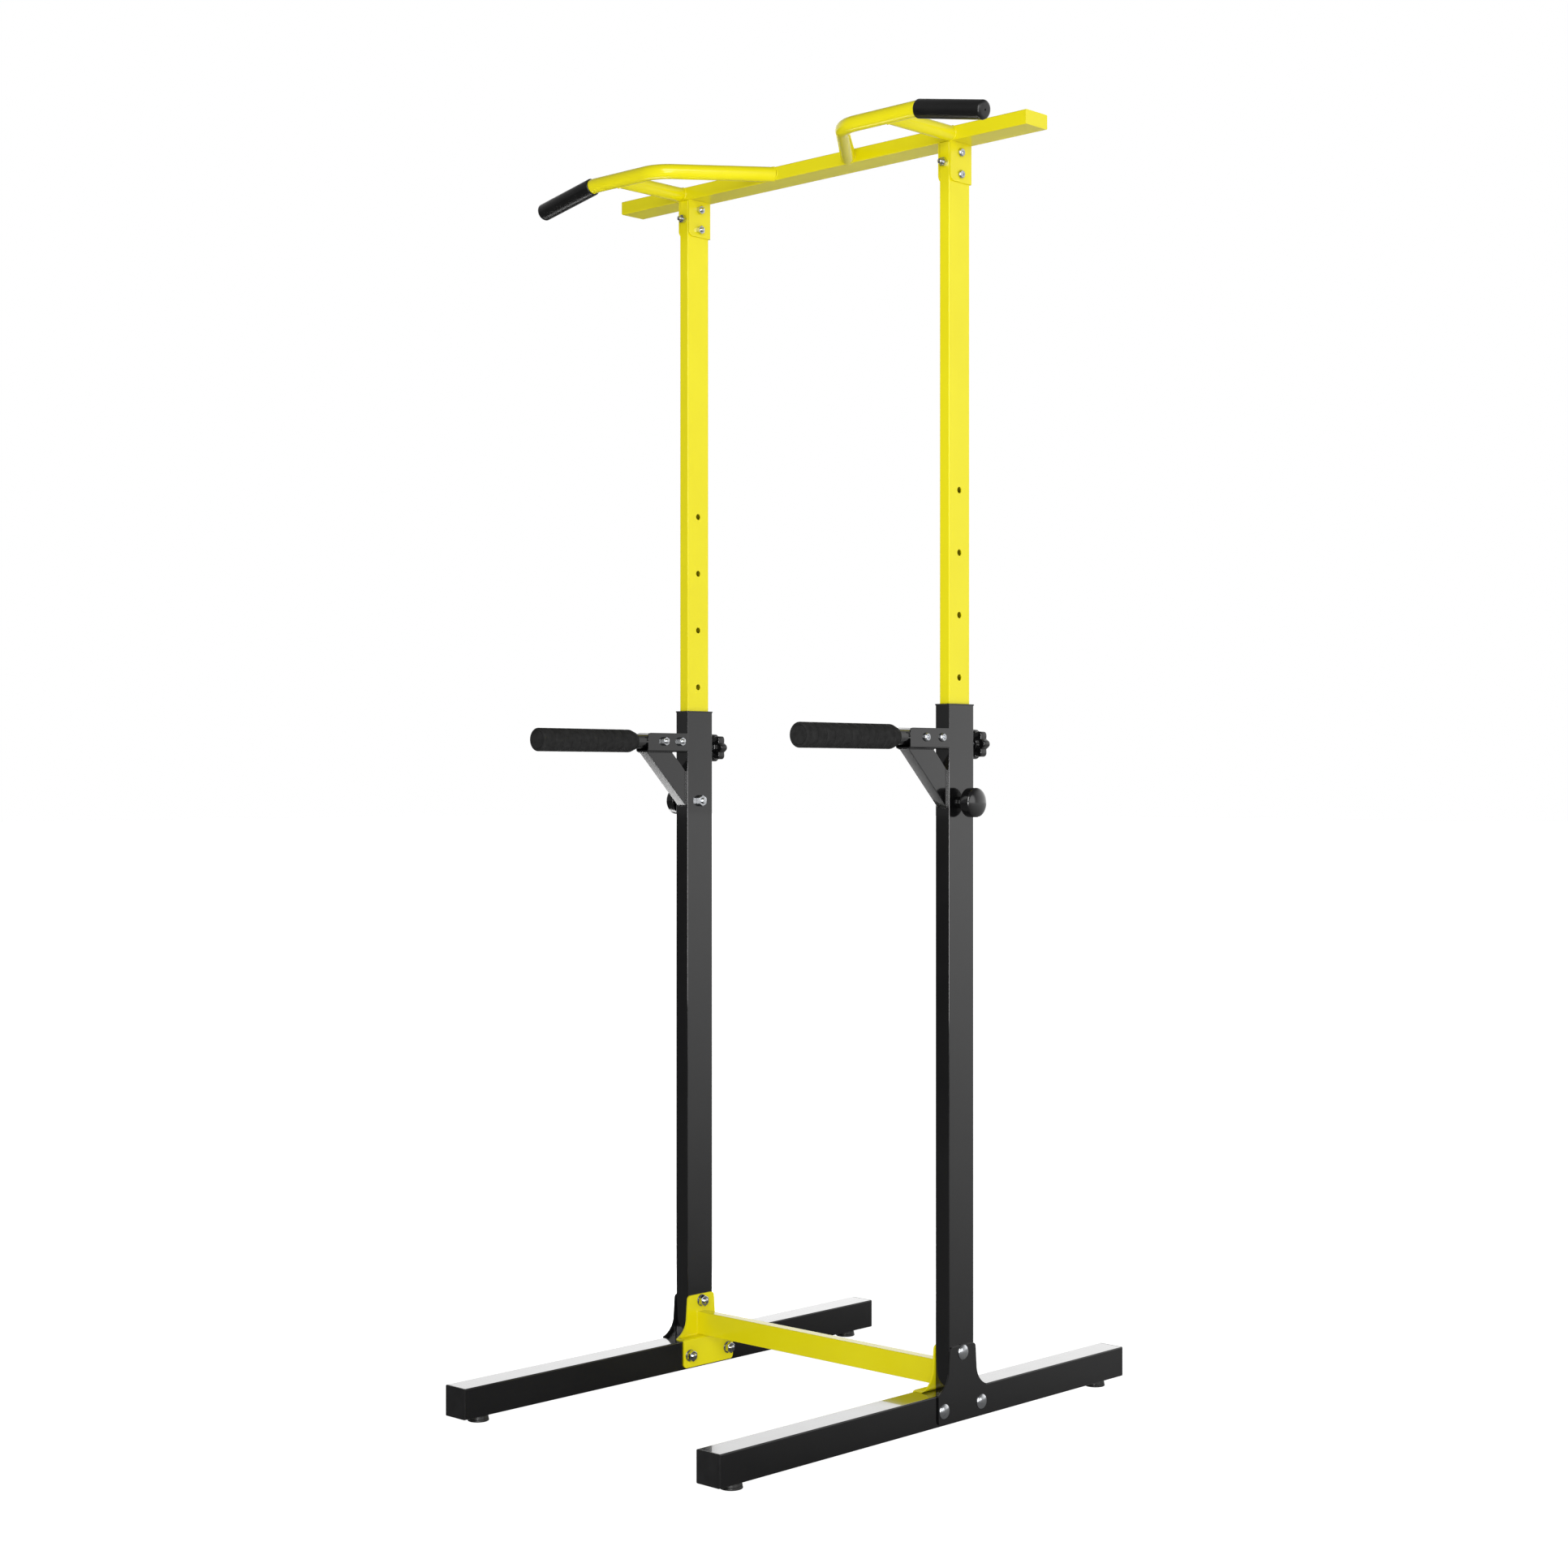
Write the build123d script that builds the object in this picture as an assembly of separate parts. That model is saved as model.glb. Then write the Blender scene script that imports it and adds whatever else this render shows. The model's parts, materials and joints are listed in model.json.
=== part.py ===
from build123d import *
import math
import os

# Free-standing power tower: two telescopic posts on base rails, a pull-up bar with two
# cranked handles on top, and a pair of dip handles in front.
# X runs from post to post, -Y is the front, Z is up. The origin is on the floor, under the
# middle of the base rails. Every paired piece is built on the right side and mirrored.

# Base
rail_length = 980.0
rail_width = 48.0
rail_height = 50.0
rail_wall = 2.0
rail_corner = 2.0
end_cap_flange = 2.5
end_cap_depth = 22.0
foot_height = 12.0
foot_top_radius = 15.5
foot_bottom_radius = 17.5
foot_inset = 48.0
foot_recess_radius = 7.0
foot_recess_depth = 7.0
foot_screw_radius = 2.5
foot_screw_head = (6.0, 3.5)
foot_screw_reach = 14.0

# Posts
post_x = 298.5
post_y = 56.5
lower_width = 29.0
lower_depth = 61.0
lower_wall = 1.5
lower_corner = 1.5
lower_top = 1157.3
upper_width = 20.0
upper_depth = 51.0
upper_wall = 1.5
upper_corner = 1.5
upper_bottom = 842.0
bar_bottom = 2057.5
post_gap = 1.0
sleeve_length = 50.0
sleeve_lip = 2.2
sleeve_overhang = 0.7
slide_gap = 0.3
glide_flange = 8.0
glide_depth = 24.0

# Height pins and side clamps
pin_z = 1002.0
hole_pitch = 100.0
lowest_hole = -1
highest_hole = 5
pin_radius = 4.8
pin_hole_radius = 5.2
knob_bore_radius = 4.85
pin_overrun = 3.0
pin_knob_height = 38.5
pin_neck_length = 15.7
pin_neck_radius = 9.5
pin_knob_radius = 23.7
pin_knob_rim = 14.3
pin_knob_edge = 1.5
pin_socket_wall = 10.0
clamp_z = 1096.0
clamp_knob_start = 10.0
clamp_knob_end = 29.0
clamp_hub_radius = 11.0
clamp_disc_thickness = 15.0
clamp_core_radius = 17.0
clamp_lobe_circle = 17.5
clamp_lobe_radius = 7.2
clamp_lobes = 7
clamp_socket_wall = 6.0
face_gap = 0.3

# Base brackets and crossbar
plate = 3.0
plate_half_top = 31.6
plate_half_neck = 34.5
plate_half_foot = 60.0
plate_top = 134.3
plate_flare = 35.0
plate_bottom_gap = 3.0
plate_corner = 7.0
bracket_bend = 3.5
cross_height = 40.0
cross_depth = 20.0
cross_wall = 1.5
high_bolt_z = 123.0
low_bolt_z = 36.2
low_bolt_y = 46.5

# Dip handles
dip_z = 1105.5
arm_width = 30.6
arm_wall = 2.0
arm_bottom = 1087.0
arm_top = 1120.0
arm_length = 95.0
arm_bend = 4.0
arm_nose = 6.0
arm_bolts = (18.0, 57.0)
dip_tube_radius = 13.25
tube_wall = 1.5
dip_grip_reach = 365.0
dip_grip_length = 219.0
dip_grip_radius = 19.6
dip_grip_taper = 12.0
dip_grip_end = 4.0
dip_grip_edge = 2.5
dip_grip_mouth = 1.2
groove_count = 10
groove_pitch = 19.2
groove_first = 25.0
groove_depth = 0.9
groove_half_width = 1.6
dip_brace_width = 20.0
dip_brace_run = 60.0
dip_brace_nose = 93.5

# Pull-up bar, its brackets and its handles
bar_length = 923.0
bar_depth = 54.4
bar_set_back = 3.8
bar_height = 23.0
bar_wall = 1.5
bar_corner = 2.0
bar_end_plate = 2.0
bracket_drop = 63.0
bracket_corner = 10.0
bracket_bolt_z = (2042.0, 2007.0)
bracket_back_bolt_z = 2024.3
handle_radius = 12.6
handle_root_x = 89.2
handle_bend_x = 212.3
handle_tip_x = 367.0
handle_reach = 150.3
handle_bend_radius = 60.0
handle_tip_bend_radius = 40.0
handle_brace_x = 308.4
handle_brace_radius = 12.5
grip_droop = 11.0
grip_radius = 15.0
grip_start = 5.0
grip_length = 134.0
grip_round = 5.5
grip_end_wall = 4.0
grip_lip = 1.5
grip_vent_radius = 1.5

# Fasteners: radius, across flats, nut height, head radius, head height
m10 = {"r": 5.0, "af": 17.0, "nut": 8.0, "head_r": 12.0, "head_h": 5.0, "washer_r": 10.5}
m8 = {"r": 4.0, "af": 13.0, "nut": 6.5, "head_r": 7.0, "head_h": 4.4}
washer_thickness = 2.0
bolt_hole_gap = 0.3
thread_gap = 0.05
bolt_overrun = 3.5

# How far a cutting shape stands past the face it cuts
cut_margin = 1.0

# Worked out from the sizes above
rail_top = foot_height + rail_height
rail_mid_z = foot_height + rail_height / 2
outer_face = post_x + lower_width / 2
inner_face = post_x - lower_width / 2
rail_x = outer_face - rail_width / 2
rail_inner_face = outer_face - rail_width
post_front = post_y - lower_depth / 2
post_back = post_y + lower_depth / 2
bar_mid_z = bar_bottom + bar_height / 2
bar_mid_y = post_y + bar_set_back
bar_front = bar_mid_y - bar_depth / 2
bar_back = bar_mid_y + bar_depth / 2
handle_line_y = bar_front - handle_reach

os.makedirs("parts", exist_ok=True)


def save(name, *shapes):
    shape = shapes[0] if len(shapes) == 1 else Compound(children=list(shapes))
    export_step(shape, f"parts/{name}.step")


def save_pair(name, shape):
    save(f"right_{name}", shape)
    save(f"left_{name}", mirror(shape, about=Plane.YZ))


def both_sides(shapes):
    return [*shapes, *[mirror(shape, about=Plane.YZ) for shape in shapes]]


def block(low, high):
    size = [b - a for a, b in zip(low, high)]
    middle = [(a + b) / 2 for a, b in zip(low, high)]
    return Pos(*middle) * Box(*size)


def rod(start, end, radius):
    line = Vector(*end) - Vector(*start)
    plane = Plane(origin=start, z_dir=line)
    return plane * Cylinder(radius, line.length, align=(Align.CENTER, Align.CENTER, Align.MIN))


def hollow(width, depth, wall, corner):
    outline = RectangleRounded(width, depth, corner)
    return outline - RectangleRounded(width - 2 * wall, depth - 2 * wall, corner - wall / 2)


def turned(points, origin, axis):
    # a profile of (radius, height) points turned about the axis through origin
    face = make_face(Polyline(*points, close=True))
    solid = revolve(Plane.XZ * face, axis=Axis.Z)
    return Plane(origin=origin, z_dir=axis) * solid


def dome_points(radius, height, steps=6):
    # quarter ellipse from the rim to the crown
    angles = [90.0 * i / steps for i in range(steps + 1)]
    return [(radius * math.cos(math.radians(a)), height * math.sin(math.radians(a))) for a in angles]


def bolt(size, seat, axis, length):
    # domed head standing on seat along axis, shank running the other way
    points = [(0, -length), (size["r"], -length), (size["r"], 0)]
    points += dome_points(size["head_r"], size["head_h"])
    return turned(points, seat, axis)


def nut(size, seat, axis):
    outline = RegularPolygon(size["af"] / 2, 6, major_radius=False) - Circle(size["r"] + thread_gap)
    return Plane(origin=seat, z_dir=axis) * extrude(outline, size["nut"])


def washer(size, seat, axis):
    outline = Circle(size["washer_r"]) - Circle(size["r"] + thread_gap)
    return Plane(origin=seat, z_dir=axis) * extrude(outline, washer_thickness)


def base_rail():
    ends = rail_length / 2 - end_cap_flange
    section = hollow(rail_width, rail_height, rail_wall, rail_corner)
    plane = Plane(origin=(rail_x, ends, rail_mid_z), x_dir=(1, 0, 0), z_dir=(0, -1, 0))
    rail = plane * extrude(section, 2 * ends)
    for y in (post_y - low_bolt_y, post_y + low_bolt_y):
        rail -= rod((rail_inner_face - plate, y, low_bolt_z), (outer_face + plate, y, low_bolt_z),
                    m10["r"] + bolt_hole_gap)
    screw_hole = foot_screw_radius + thread_gap
    for y in foot_places():
        rail -= rod((rail_x, y, 0), (rail_x, y, foot_height + rail_wall + cut_margin), screw_hole)
    return rail


def foot_places():
    return (-rail_length / 2 + foot_inset, rail_length / 2 - foot_inset)


def end_caps():
    caps = []
    inner = (rail_width - 2 * rail_wall - slide_gap, rail_height - 2 * rail_wall - slide_gap)
    for sign in (-1, 1):
        end = (rail_x, sign * rail_length / 2, rail_mid_z)
        plane = Plane(origin=end, x_dir=(1, 0, 0), z_dir=(0, -sign, 0))
        flange = extrude(RectangleRounded(rail_width, rail_height, rail_corner), end_cap_flange)
        plug = extrude(hollow(*inner, rail_wall, rail_corner), end_cap_depth)
        caps.append(plane * (flange + plug))
    return caps


def foot(y):
    profile = [(foot_screw_radius + thread_gap, foot_recess_depth), (foot_recess_radius, foot_recess_depth),
               (foot_recess_radius, 0), (foot_bottom_radius, 0), (foot_top_radius, foot_height),
               (foot_screw_radius + thread_gap, foot_height)]
    return turned(profile, (rail_x, y, 0), (0, 0, 1))


def foot_screw(y):
    head_radius, head_height = foot_screw_head
    head_z = foot_recess_depth - head_height
    tip_z = foot_recess_depth + foot_screw_reach
    profile = [(0, head_z), (head_radius, head_z), (head_radius, foot_recess_depth),
               (foot_screw_radius, foot_recess_depth), (foot_screw_radius, tip_z), (0, tip_z)]
    return turned(profile, (rail_x, y, 0), (0, 0, 1))


def lower_upright():
    section = hollow(lower_width, lower_depth, lower_wall, lower_corner)
    post = Pos(post_x, post_y, rail_top) * extrude(section, lower_top - rail_top)
    inside, outside = inner_face - cut_margin, outer_face + cut_margin
    post -= rod((inside, post_y, pin_z), (outside, post_y, pin_z), pin_hole_radius)
    post -= rod((inside, post_y, high_bolt_z), (outside, post_y, high_bolt_z), m10["r"] + bolt_hole_gap)
    post -= rod((post_x, post_y, clamp_z), (post_x, post_back + cut_margin, clamp_z), pin_hole_radius)
    return post


def guide_sleeve():
    # liner inside the lower post, with a lip that lies on the post's end
    room = 2 * lower_wall + slide_gap
    outer = RectangleRounded(lower_width - room, lower_depth - room, lower_corner - lower_wall / 2)
    inner = RectangleRounded(upper_width + 2 * slide_gap, upper_depth + 2 * slide_gap, upper_corner)
    rim = RectangleRounded(lower_width + 2 * sleeve_overhang, lower_depth + 2 * sleeve_overhang, lower_corner)
    liner = Pos(post_x, post_y, lower_top - sleeve_length) * extrude(outer - inner, sleeve_length)
    return liner + Pos(post_x, post_y, lower_top) * extrude(rim - inner, sleeve_lip)


def plate_outline():
    # a wide foot on the rail, two concave flares, then sides that lean in up to the top
    low = foot_height + plate_bottom_gap
    flare_z = rail_top + plate_flare
    foot_part_height = rail_top - low
    lean = [(-plate_half_neck, flare_z), (plate_half_neck, flare_z), (plate_half_top, plate_top),
            (-plate_half_top, plate_top)]
    upper = make_face(Polyline(*lean, close=True))
    upper = fillet(upper.vertices().group_by(Axis.Y)[-1], plate_corner)
    foot_part = RectangleRounded(2 * plate_half_foot, foot_part_height, plate_corner)
    foot_part = Pos(0, low + foot_part_height / 2) * foot_part
    foot_part += Pos(0, rail_top - plate_corner / 2) * Rectangle(2 * plate_half_foot, plate_corner)
    flares = Pos(0, rail_top + plate_flare / 2) * Rectangle(2 * plate_half_foot, plate_flare)
    for sign in (-1, 1):
        flares -= Pos(sign * (plate_half_neck + plate_flare), flare_z) * Circle(plate_flare)
    return upper + foot_part + flares


def bracket_holes(shape):
    places = [(post_y, high_bolt_z), (post_y - low_bolt_y, low_bolt_z), (post_y + low_bolt_y, low_bolt_z)]
    for y, z in places:
        shape -= rod((rail_inner_face - 2 * plate, y, z), (outer_face + 2 * plate, y, z),
                     m10["r"] + bolt_hole_gap)
    return shape


def outline_prism(x_low, x_high):
    plane = Plane(origin=(x_low, post_y, 0), x_dir=(0, 1, 0), z_dir=(1, 0, 0))
    return plane * extrude(plate_outline(), x_high - x_low)


def outer_plate():
    return bracket_holes(outline_prism(outer_face, outer_face + plate))


def inner_plate():
    # folded strip: up the post, across the rail's top, down the rail's inner side
    post_line = inner_face - plate / 2
    rail_line = rail_inner_face - plate / 2
    ledge = rail_top + plate / 2
    path = FilletPolyline((post_line, plate_top), (post_line, ledge), (rail_line, ledge),
                          (rail_line, foot_height), radius=bracket_bend)
    strip = trace(path, plate)
    plane = Plane(origin=(0, post_y + plate_half_foot, 0), x_dir=(1, 0, 0), z_dir=(0, -1, 0))
    folded = plane * extrude(strip, 2 * plate_half_foot)
    return bracket_holes(folded & outline_prism(rail_line - plate, inner_face))


def crossbar():
    half = inner_face - plate
    start = (-half, post_y, rail_top + plate + cross_height / 2)
    plane = Plane(origin=start, x_dir=(0, 1, 0), z_dir=(1, 0, 0))
    tube = plane * extrude(hollow(cross_depth, cross_height, cross_wall, lower_corner), 2 * half)
    for bracket in both_sides([inner_plate()]):
        tube -= bracket
    return tube


def base_fasteners():
    places = [(post_y, high_bolt_z, inner_face), (post_y - low_bolt_y, low_bolt_z, rail_inner_face),
              (post_y + low_bolt_y, low_bolt_z, rail_inner_face)]
    bolts, washers, nuts = [], [], []
    head_seat = outer_face + plate
    for y, z, back in places:
        seat = back - plate
        reach = head_seat - seat + washer_thickness + m10["nut"] + bolt_overrun
        bolts.append(bolt(m10, (head_seat, y, z), (1, 0, 0), reach))
        washers.append(washer(m10, (seat, y, z), (-1, 0, 0)))
        nuts.append(nut(m10, (seat - washer_thickness, y, z), (-1, 0, 0)))
    return bolts, washers, nuts


def dip_bolt_places():
    return [post_front - distance for distance in arm_bolts]


def dip_arm():
    # open-topped channel standing out of the post's front face
    half = arm_width / 2
    arm_height = arm_top - arm_bottom
    outer = Pos(0, arm_height / 2) * Rectangle(arm_width, arm_height)
    outer = fillet(outer.vertices().sort_by(Axis.Y)[:2], arm_bend)
    inner_height = arm_height - arm_wall
    inner = Pos(0, arm_wall + inner_height / 2) * Rectangle(arm_width - 2 * arm_wall, inner_height)
    inner = fillet(inner.vertices().sort_by(Axis.Y)[:2], arm_bend - arm_wall)
    plane = Plane(origin=(post_x, post_front, arm_bottom), x_dir=(1, 0, 0), z_dir=(0, -1, 0))
    arm = plane * extrude(outer - inner, arm_length)
    nose_y = post_front - arm_length
    side = Pos(nose_y + arm_length / 2, arm_bottom + arm_height / 2) * Rectangle(arm_length, arm_height)
    nose = side.vertices().group_by(Axis.X)[0].sort_by(Axis.Y)[-1:]
    side_plane = Plane(origin=(post_x - half, 0, 0), x_dir=(0, 1, 0), z_dir=(1, 0, 0))
    arm &= side_plane * extrude(fillet(nose, arm_nose), arm_width)
    for y in dip_bolt_places():
        arm -= rod((post_x - arm_width, y, dip_z), (post_x + arm_width, y, dip_z), m8["r"] + bolt_hole_gap)
    return arm


def dip_brace():
    # rectangular tube at 45 degrees from under the arm down to the post
    run, wall = dip_brace_run, cross_wall * math.sqrt(2)
    nose_y = post_front - dip_brace_nose
    plane = Plane(origin=(post_x - dip_brace_width / 2, 0, 0), x_dir=(0, 1, 0), z_dir=(1, 0, 0))

    def slanted(start, end):
        corners = [(start, arm_bottom), (end, arm_bottom), (post_front, arm_bottom - (post_front - end)),
                   (post_front, arm_bottom - (post_front - start))]
        return make_face(Polyline(*corners, close=True))

    outside = plane * extrude(slanted(nose_y, nose_y + run), dip_brace_width)
    room = slanted(nose_y + wall, nose_y + run - wall)
    inside = plane.offset(cross_wall) * extrude(room, dip_brace_width - 2 * cross_wall)
    return outside - inside


def dip_handle():
    back = post_front - cut_margin
    front = post_y - dip_grip_reach + dip_grip_end + cut_margin
    tube = rod((post_x, back, dip_z), (post_x, front, dip_z), dip_tube_radius)
    tube -= rod((post_x, back, dip_z), (post_x, front, dip_z), dip_tube_radius - tube_wall)
    for y in dip_bolt_places():
        tube -= rod((post_x - arm_width, y, dip_z), (post_x + arm_width, y, dip_z), m8["r"] + bolt_hole_gap)
    return tube


def dip_grip():
    bore = dip_tube_radius + thread_gap
    front = post_y - dip_grip_reach
    profile = [(0, 0), (dip_grip_radius - dip_grip_edge, 0), (dip_grip_radius, dip_grip_edge)]
    for i in range(groove_count):
        at = groove_first + i * groove_pitch
        profile += [(dip_grip_radius, at - groove_half_width), (dip_grip_radius - groove_depth, at),
                    (dip_grip_radius, at + groove_half_width)]
    profile += [(dip_grip_radius, dip_grip_length - dip_grip_taper),
                (dip_tube_radius + dip_grip_mouth, dip_grip_length),
                (bore, dip_grip_length), (bore, dip_grip_end), (0, dip_grip_end)]
    return turned(profile, (post_x, front, dip_z), (0, 1, 0))


def dip_fasteners():
    bolts, nuts = [], []
    half = arm_width / 2
    reach = arm_width + m8["nut"] + bolt_overrun
    for y in dip_bolt_places():
        bolts.append(bolt(m8, (post_x + half, y, dip_z), (1, 0, 0), reach))
        nuts.append(nut(m8, (post_x - half, y, dip_z), (-1, 0, 0)))
    return bolts, nuts


def upper_upright():
    top = bar_bottom - post_gap
    section = hollow(upper_width, upper_depth, upper_wall, upper_corner)
    post = Pos(post_x, post_y, upper_bottom) * extrude(section, top - upper_bottom)
    for step in range(lowest_hole, highest_hole + 1):
        z = pin_z + step * hole_pitch
        post -= rod((inner_face, post_y, z), (outer_face, post_y, z), pin_hole_radius)
    for z in bracket_bolt_z:
        post -= rod((inner_face, post_y, z), (outer_face, post_y, z), m8["r"] + bolt_hole_gap)
    post -= rod((post_x, post_front, bracket_back_bolt_z), (post_x, post_back, bracket_back_bolt_z),
                m8["r"] + bolt_hole_gap)
    return post


def glide_plug():
    flange = extrude(RectangleRounded(lower_width - 2 * lower_wall - 2 * slide_gap,
                                      lower_depth - 2 * lower_wall - 2 * slide_gap,
                                      lower_corner - lower_wall / 2), glide_flange)
    plug = extrude(hollow(upper_width - 2 * upper_wall - slide_gap, upper_depth - 2 * upper_wall - slide_gap,
                          rail_wall, upper_corner), glide_flange + glide_depth)
    return Pos(post_x, post_y, upper_bottom - glide_flange) * (flange + plug)


def top_bar():
    half = bar_length / 2 - bar_end_plate
    plane = Plane(origin=(-half, bar_mid_y, bar_mid_z), x_dir=(0, 1, 0), z_dir=(1, 0, 0))
    return plane * extrude(hollow(bar_depth, bar_height, bar_wall, bar_corner), 2 * half)


def bar_end():
    start = (bar_length / 2 - bar_end_plate, bar_mid_y, bar_mid_z)
    plane = Plane(origin=start, x_dir=(0, 1, 0), z_dir=(1, 0, 0))
    return plane * extrude(RectangleRounded(bar_depth, bar_height, bar_corner), bar_end_plate)


def top_bracket():
    # channel round the top of the post, open to the front, hanging under the bar
    gap = slide_gap / 2
    half_in = upper_width / 2 + gap
    back_in = upper_depth / 2 + gap
    front = upper_depth / 2
    low = bar_bottom - bracket_drop
    outside = block((post_x - half_in - plate, post_y - front, low),
                    (post_x + half_in + plate, post_y + back_in + plate, bar_bottom))
    inside = block((post_x - half_in, post_y - 2 * front, low - cut_margin),
                   (post_x + half_in, post_y + back_in, bar_bottom + cut_margin))
    outside = fillet(outside.edges().filter_by(Axis.Z).group_by(Axis.Y)[-1], plate)
    lip = outside.edges().filter_by(Axis.X).group_by(Axis.Z)[0].sort_by(Axis.Y)[0]
    bracket = fillet(lip, bracket_corner) - inside
    for z in bracket_bolt_z:
        bracket -= rod((inner_face, post_y, z), (outer_face, post_y, z), m8["r"] + bolt_hole_gap)
    bracket -= rod((post_x, post_y, bracket_back_bolt_z), (post_x, post_back + plate, bracket_back_bolt_z),
                   m8["r"] + bolt_hole_gap)
    return bracket


def bracket_fasteners():
    bolts, nuts = [], []
    side = upper_width / 2 + slide_gap / 2 + plate
    for z in bracket_bolt_z:
        bolts.append(bolt(m8, (post_x + side, post_y, z), (1, 0, 0), 2 * side + m8["nut"] + bolt_overrun))
        nuts.append(nut(m8, (post_x - side, post_y, z), (-1, 0, 0)))
    back = post_y + upper_depth / 2 + slide_gap / 2 + plate
    front = post_y - upper_depth / 2
    reach = back - front + m8["nut"] + 2 * bolt_overrun
    bolts.append(bolt(m8, (post_x, back, bracket_back_bolt_z), (0, 1, 0), reach))
    nuts.append(nut(m8, (post_x, front, bracket_back_bolt_z), (0, -1, 0)))
    return bolts, nuts


def grip_direction():
    droop = math.radians(grip_droop)
    return Vector(math.cos(droop), 0, -math.sin(droop))


def handle_path():
    root = Vector(handle_root_x, bar_front, bar_mid_z)
    bend = Vector(handle_bend_x, handle_line_y, bar_mid_z)
    tip = Vector(handle_tip_x, handle_line_y, bar_mid_z)
    inside_bar = root - (bend - root).normalized() * handle_radius * 2
    end = tip + grip_direction() * (grip_start + grip_length - grip_end_wall - cut_margin)
    return FilletPolyline(inside_bar, bend, tip, end, radius=[handle_bend_radius, handle_tip_bend_radius])


def handle_tube():
    path = handle_path()
    start = Plane(origin=path @ 0, z_dir=path % 0)
    ring = start * (Circle(handle_radius) - Circle(handle_radius - tube_wall))
    tube = sweep(ring, path=path)
    behind = block((0, bar_front, bar_bottom - bar_depth), (bar_length / 2, bar_back, bar_bottom + bar_depth))
    return tube - behind


def handle_brace():
    start = (handle_brace_x, handle_line_y, bar_mid_z)
    end = (handle_brace_x, bar_front, bar_mid_z)
    tube = rod(start, end, handle_brace_radius) - rod(start, end, handle_brace_radius - tube_wall)
    main = rod((handle_bend_x, handle_line_y, bar_mid_z), (handle_tip_x, handle_line_y, bar_mid_z),
               handle_radius + thread_gap)
    # the top bracket stands a little in front of the bar, so the brace rests on its edge
    bracket_edge = block((inner_face, post_y - upper_depth / 2, bar_bottom - bar_height),
                         (outer_face, bar_front, bar_bottom))
    return tube - main - bracket_edge


def handle_grip():
    bore = handle_radius + thread_gap
    corner = [(grip_round * math.sin(math.radians(a)), grip_round * (1 - math.cos(math.radians(a))))
              for a in (0, 22.5, 45, 67.5, 90)]
    flat = grip_radius - grip_round
    closed_end = [(flat + dx, grip_length - dz) for dx, dz in corner]
    profile = [(bore, 0), (grip_radius - grip_lip, 0), (grip_radius, 2 * grip_lip)]
    profile += closed_end[::-1]
    profile += [(grip_vent_radius, grip_length), (grip_vent_radius, grip_length - grip_end_wall),
                (bore, grip_length - grip_end_wall)]
    tip = Vector(handle_tip_x, handle_line_y, bar_mid_z)
    return turned(profile, tip + grip_direction() * grip_start, grip_direction())


def pin_stud():
    start = inner_face - m10["nut"] - pin_overrun
    end = outer_face + pin_knob_height - pin_socket_wall
    return rod((start, post_y, pin_z), (end, post_y, pin_z), pin_radius)


def pin_knob():
    # mushroom: a straight neck under a round, domed head
    crown = pin_knob_height - pin_neck_length - pin_knob_rim
    socket = pin_knob_height - pin_socket_wall + face_gap
    profile = [(knob_bore_radius, face_gap), (pin_neck_radius, face_gap), (pin_neck_radius, pin_neck_length)]
    profile += [(pin_knob_radius - pin_knob_edge, pin_neck_length),
                (pin_knob_radius, pin_neck_length + pin_knob_edge)]
    top = pin_neck_length + pin_knob_rim
    profile += [(r, top + h) for r, h in dome_points(pin_knob_radius, crown)]
    profile += [(0, socket), (knob_bore_radius, socket)]
    return turned(profile, (outer_face, post_y, pin_z), (1, 0, 0))


def pin_nut():
    hex_part = nut(m10, (inner_face, post_y, pin_z), (-1, 0, 0))
    inside, outside = inner_face - 2 * m10["nut"], inner_face + cut_margin
    return hex_part - rod((inside, post_y, pin_z), (outside, post_y, pin_z), pin_hole_radius)


def clamp_stud():
    start = post_y + upper_depth / 2 + face_gap
    end = post_back + clamp_knob_end - clamp_socket_wall
    return rod((post_x, start, clamp_z), (post_x, end, clamp_z), pin_radius)


def clamp_knob():
    # star knob: a lobed disc on a short hub
    disc = Circle(clamp_core_radius)
    for i in range(clamp_lobes):
        disc += Rot(0, 0, 360 / clamp_lobes * i) * Pos(0, clamp_lobe_circle) * Circle(clamp_lobe_radius)
    disc_start = clamp_knob_end - clamp_disc_thickness
    knob = Pos(0, 0, disc_start) * extrude(disc, clamp_disc_thickness)
    knob += Pos(0, 0, clamp_knob_start) * extrude(Circle(clamp_hub_radius), disc_start - clamp_knob_start)
    socket_end = clamp_knob_end - clamp_socket_wall + face_gap
    knob -= Pos(0, 0, clamp_knob_start) * extrude(Circle(knob_bore_radius), socket_end - clamp_knob_start)
    return Plane(origin=(post_x, post_back, clamp_z), z_dir=(0, 1, 0)) * knob


def clamp_nut():
    hex_part = nut(m10, (post_x, post_back, clamp_z), (0, 1, 0))
    front, back = post_back - cut_margin, post_back + 2 * m10["nut"]
    return hex_part - rod((post_x, front, clamp_z), (post_x, back, clamp_z), pin_hole_radius)


# base
save_pair("base_rail", base_rail())
save("right_rail_end_caps", *end_caps())
save("left_rail_end_caps", *[mirror(cap, about=Plane.YZ) for cap in end_caps()])
save("rubber_feet", *both_sides([foot(y) for y in foot_places()]))
save("foot_screws", *both_sides([foot_screw(y) for y in foot_places()]))
save_pair("lower_upright", lower_upright())
save_pair("guide_sleeve", guide_sleeve())
save_pair("outer_plate", outer_plate())
save_pair("inner_plate", inner_plate())
save("crossbar", crossbar())
base_bolts, base_washers, base_nuts = base_fasteners()
save("base_bolts", *both_sides(base_bolts))
save("base_washers", *both_sides(base_washers))
save("base_nuts", *both_sides(base_nuts))

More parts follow.
